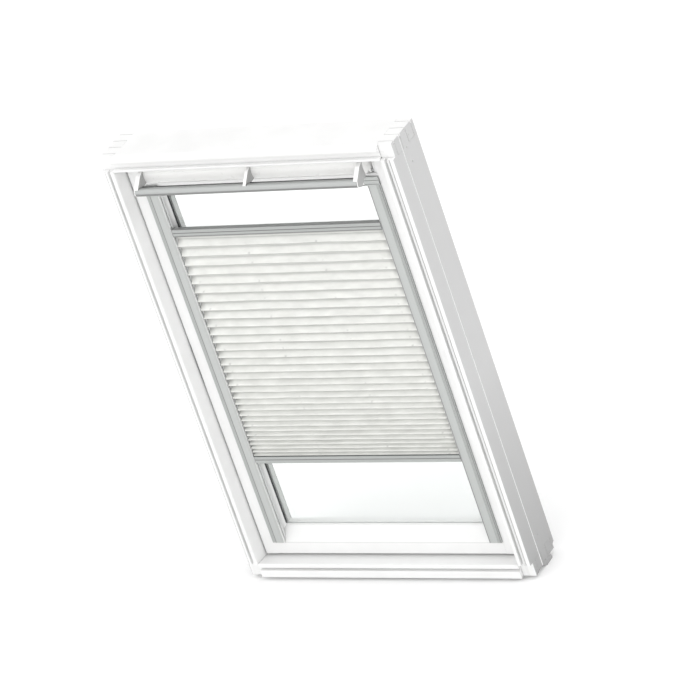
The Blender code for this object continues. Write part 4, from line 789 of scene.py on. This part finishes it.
# The blind is one length of polyester, pleated every 16 mm, that hangs as 32 folds from
# the top rail to the bottom rail. Cords run up inside it through four columns of holes,
# and between them the folds droop a little.
FOLDS = 32
PANEL = 0.016
PANEL_LEAST_DEPTH = 0.004
TIGHTENING = 0.618
TIGHTENING_POWER = 1.25
CREASE = 0.0005
CREASE_HANG = 0.17
CREASE_TIP = 0.94
CREASE_ANGLE = 75
PANEL_STATIONS = (0.1, 0.3, 0.5, 0.7)
PANEL_BOW = 0.0005
COLUMNS = 96
CORD_COLUMNS = (0.045, 0.33, 0.67, 0.955)
DROOP = 0.0006
DROOP_REACH = 0.12
HELD_LENGTH = 0.02
# The folds drift up and down, and ripple in and out. For both: how far, how often across
# the cloth and down its folds, and where it is read from the noise.
DRIFT = 0.0011
DRIFT_ACROSS = 5.0
DRIFT_DOWN = 0.45
DRIFT_PLACE = 2.0
RIPPLE = 0.0005
RIPPLE_ACROSS = 16.0
RIPPLE_DOWN = 0.9
RIPPLE_PLACE = 7.0
# How much painted shade the cloth takes in a valley, at the tip of a crease, and at least on
# the underside of a fold. The powers say how fast it clears away from the valley and from the tip.
VALLEY_SHADE = 0.8
VALLEY_POWER = 6
TIP_SHADE = 0.3
UNDERSIDE_SHADE = 0.2
UNDERSIDE_POWER = 1.5

cloth_low, cloth_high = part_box("pleated_fabric")
cloth_middle = (cloth_low.y + cloth_high.y) / 2
cloth_width = cloth_high.x - cloth_low.x
cloth_height = cloth_high.z - cloth_low.z


def fold_line():
    """The folds from the side, from the top down: front and back creases in turn."""
    weights = [1.0 - TIGHTENING * (fold / (FOLDS - 1)) ** TIGHTENING_POWER for fold in range(FOLDS)]
    unit = cloth_height / sum(weights)
    height = cloth_high.z
    line = [(cloth_middle, height)]
    for weight in weights:
        pitch = weight * unit
        depth = math.sqrt(max(PANEL**2 - (pitch / 2) ** 2, PANEL_LEAST_DEPTH**2)) - 2 * CREASE
        line.append((cloth_middle + depth / 2, height - pitch * (0.5 - CREASE_HANG)))
        height -= pitch
        line.append((cloth_middle - depth / 2, height))
    return line


def panel_points(line):
    """Rounded creases with bowed panels between them, as (y, z, place in the folds)."""
    points = []
    for number in range(len(line) - 1):
        start = Vector(line[number])
        end = Vector(line[number + 1])
        along = (end - start).normalized()
        across = Vector((-along.y, along.x))
        length = (end - start).length
        inset = min(CREASE, length / 4)
        for share in (inset / length, *PANEL_STATIONS, 1 - inset / length):
            bow = PANEL_BOW * math.sin(math.pi * share) * (1 if number % 2 else -1)
            point = start + along * length * share + across * bow
            points.append((point.x, point.y, number + share))
    return points


def painted_fold_shade(station):
    """How much painted shade a spot of the folds takes, from 0 to 1.

    A panel in view is shaded only where it leaves its valley. The underside of a fold is
    shaded most just behind its tip.
    """
    to_next_crease = 1.0 - station % 1.0
    panel_in_view = int(station) % 2 == 1
    if panel_in_view:
        return VALLEY_SHADE * to_next_crease**VALLEY_POWER
    if to_next_crease > CREASE_TIP:
        return TIP_SHADE
    return UNDERSIDE_SHADE + (1.0 - UNDERSIDE_SHADE) * to_next_crease**UNDERSIDE_POWER


def make_cloth():
    """The pleated sheet, held straight at both rails and a little uneven between them."""
    points = panel_points(fold_line())
    solid = bmesh.new()
    shade = solid.verts.layers.float.new("painted_fold_shade")
    place = solid.verts.layers.float.new("place_in_folds")
    rows = []
    for y, z, station in points:
        slack = min(1.0, (cloth_high.z - z) / HELD_LENGTH, (z - cloth_low.z) / HELD_LENGTH)
        front = (cloth_middle - y) / PANEL
        row = []
        for column in range(COLUMNS + 1):
            share = column / COLUMNS
            x = cloth_low.x + cloth_width * share
            away = min(abs(share - cord) for cord in CORD_COLUMNS)
            sag = DROOP * min(1.0, away / DROOP_REACH) * front
            drift_at = Vector((share * DRIFT_ACROSS, station * DRIFT_DOWN, DRIFT_PLACE))
            ripple_at = Vector((share * RIPPLE_ACROSS, station * RIPPLE_DOWN, RIPPLE_PLACE))
            drift = noise.noise(drift_at) * DRIFT
            ripple = noise.noise(ripple_at) * RIPPLE
            corner = solid.verts.new((x, y + ripple * slack, z - (sag + drift) * slack))
            corner[shade] = painted_fold_shade(station)
            corner[place] = station / 2
            row.append(corner)
        rows.append(row)
    for above, below in zip(rows, rows[1:]):
        for left, right, low_right, low_left in zip(above, above[1:], below[1:], below):
            solid.faces.new((left, low_left, low_right, right))
    mesh = bpy.data.meshes.new("pleated_cloth")
    solid.to_mesh(mesh)
    solid.free()
    mesh.shade_smooth()
    mesh.set_sharp_from_angle(angle=math.radians(CREASE_ANGLE))
    return mesh


cloth = bpy.data.objects.new("pleated_cloth", make_cloth())
bpy.context.scene.collection.objects.link(cloth)

# The cloth is off-white, with painted shade in its folds and near its ends, and has a
# small dull spot near the crease wherever a cord runs.
OFF_WHITE = (0.83, 0.84, 0.80)
CLOTH_DULL = (0.71, 0.715, 0.686)
CLOTH_CLEAN = (0.825, 0.83, 0.80)
FOLD_SHADE = (0.24, 0.243, 0.234)
FOLD_SHADE_MOST = 0.9
CLOTH_SHADE_AND_CORD_SPOT = (0.40, 0.40, 0.385)
SHADED_END = 0.016
CORD_SPOT_HALF = 0.001
CORD_SPOT_SOFT = 0.0035
CORD_SPOT_MOST = 0.6
# Lumps to a metre along X, Y and Z.
CLOTH_CLOUDS = (22.0, 22.0, 60.0)
RUBBED_LUMPS = (40.0, 40.0, 110.0)
WEAVE = 2400.0
WEAVE_HEIGHT = 0.00012
# Places on the way from a front crease, 0, through the valley at a half, to the next, 1.
END_SHADE_TO = 0.6
CORD_SPOT_STARTS = 0.80
CORD_SPOT_FULL = 0.90

cloth_finish = new_finish("off-white pleated polyester", OFF_WHITE, roughness=0.85, Sheen_Weight=0.12)
clouds = lumps(cloth_finish, CLOTH_CLOUDS, detail=4.0)
vary_colour(cloth_finish, clouds, CLOTH_DULL, CLOTH_CLEAN)
tree = cloth_finish.node_tree
in_fold = tree.nodes.new("ShaderNodeAttribute")
in_fold.attribute_name = "painted_fold_shade"
# Painted shade in the folds.
fold_shaded = fade(cloth_finish, in_fold.outputs["Fac"], 0.0, 1.0, FOLD_SHADE_MOST)
mix_colour(cloth_finish, fold_shaded, None, FOLD_SHADE)
fold_place = tree.nodes.new("ShaderNodeAttribute")
fold_place.attribute_name = "place_in_folds"
part_of_fold = tree.nodes.new("ShaderNodeMath")
part_of_fold.operation = "FRACT"
tree.links.new(fold_place.outputs["Fac"], part_of_fold.inputs[0])
# Painted shade near each end of the cloth.
near_end = fade(cloth_finish, way_off(cloth_finish, "X"), cloth_high.x - SHADED_END, cloth_high.x)
way_down_fold = part_of_fold.outputs["Value"]
near_valley = fade(cloth_finish, way_down_fold, 1.0, END_SHADE_TO)
mix_colour(cloth_finish, both(cloth_finish, near_end, near_valley), None, CLOTH_SHADE_AND_CORD_SPOT)
near_crease = fade(cloth_finish, way_down_fold, CORD_SPOT_STARTS, CORD_SPOT_FULL, CORD_SPOT_MOST)
rubbed_lumps = lumps(cloth_finish, RUBBED_LUMPS, detail=3.0)
rubbed = between(cloth_finish, rubbed_lumps, low=-1.0, high=1.1)
for cord in CORD_COLUMNS:
    cord_x = cloth_low.x + cloth_width * cord
    at_cord = near_plane(cloth_finish, "X", cord_x, CORD_SPOT_HALF, CORD_SPOT_SOFT)
    spot = both(cloth_finish, at_cord, near_crease)
    mix_colour(cloth_finish, both(cloth_finish, spot, rubbed), None, CLOTH_SHADE_AND_CORD_SPOT)
add_relief(cloth_finish, lumps(cloth_finish, [WEAVE] * 3), WEAVE_HEIGHT, strength=0.5)
cloth.data.materials.append(cloth_finish)

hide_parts("pleated_fabric")
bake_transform(cloth)
# A share of the bottom rail's travel is worked out for each point of the folds, by its place on the
# way down.
shares = [(cloth_high.z - vertex.co.z) / cloth_height for vertex in cloth.data.vertices]
shares = [min(1.0, max(0.0, share)) for share in shares]


# A plain pale floor in a pale room, with two broad soft lamps: the strong one high on the
# side of the room, and a weak one high behind the window.
FLOOR_SIZE = 60.0
FLOOR_GAP = 0.0005
FLOOR_PALE = (0.97, 0.97, 0.97)
FLOOR_PATCHES = 6.0
ROOM_PALE = (1.0, 1.0, 1.0)
ROOM_STRENGTH = 0.24
# Name, strength, spread in degrees and the way that the light travels.
LAMPS = (
    ("front lamp", 3.35, 170, (-0.12, 0.80, -0.60)),
    ("back lamp", 0.85, 60, (0.0, -0.45, -0.90)),
)

floor_mesh = bpy.data.meshes.new("floor")
floor_shape = bmesh.new()
bmesh.ops.create_grid(floor_shape, x_segments=4, y_segments=4, size=FLOOR_SIZE / 2)
floor_shape.to_mesh(floor_mesh)
floor_shape.free()
floor = bpy.data.objects.new("floor", floor_mesh)
floor.location.z = -FLOOR_GAP
bpy.context.scene.collection.objects.link(floor)
floor_finish = new_finish("pale floor", FLOOR_PALE, roughness=0.8, Specular_IOR_Level=0.2)
vary_roughness(floor_finish, lumps(floor_finish, [FLOOR_PATCHES] * 3), low=0.75, high=0.85)
floor_mesh.materials.append(floor_finish)

room = bpy.data.worlds.new("pale room")
room.use_nodes = True
room_light = room.node_tree.nodes["Background"]
room_light.inputs["Color"].default_value = (*ROOM_PALE, 1.0)
room_light.inputs["Strength"].default_value = ROOM_STRENGTH
bpy.context.scene.world = room

for name, strength, spread, aim in LAMPS:
    lamp = bpy.data.objects.new(name, bpy.data.lights.new(name, "SUN"))
    lamp.data.energy = strength
    lamp.data.angle = math.radians(spread)
    lamp.rotation_euler = Vector(aim).to_track_quat("-Z", "Y").to_euler()
    bpy.context.scene.collection.objects.link(lamp)
bpy.context.scene.view_settings.view_transform = "Standard"


# The camera stands well back to the right of the window and above it, with a long lens,
# and is rolled a little, so that the window leans in the picture.
CAMERA_PLACE = Vector((6.07928, -8.47601, 5.95832))
CAMERA_FORWARD = Vector((-0.515231, 0.724233, -0.458273))
CAMERA_ROLL = math.radians(-19.29)
LENS = 260.08
SENSOR_WIDTH = 36.0
NEAREST = 0.5
FARTHEST = 200.0

camera = bpy.data.objects.new("camera", bpy.data.cameras.new("camera"))
camera.data.lens = LENS
camera.data.sensor_width = SENSOR_WIDTH
camera.data.clip_start = NEAREST
camera.data.clip_end = FARTHEST
camera.location = CAMERA_PLACE
level = CAMERA_FORWARD.to_track_quat("-Z", "Y").to_matrix()
camera.rotation_euler = (level @ Matrix.Rotation(CAMERA_ROLL, 3, "Z")).to_euler()
bpy.context.scene.collection.objects.link(camera)
bpy.context.scene.camera = camera
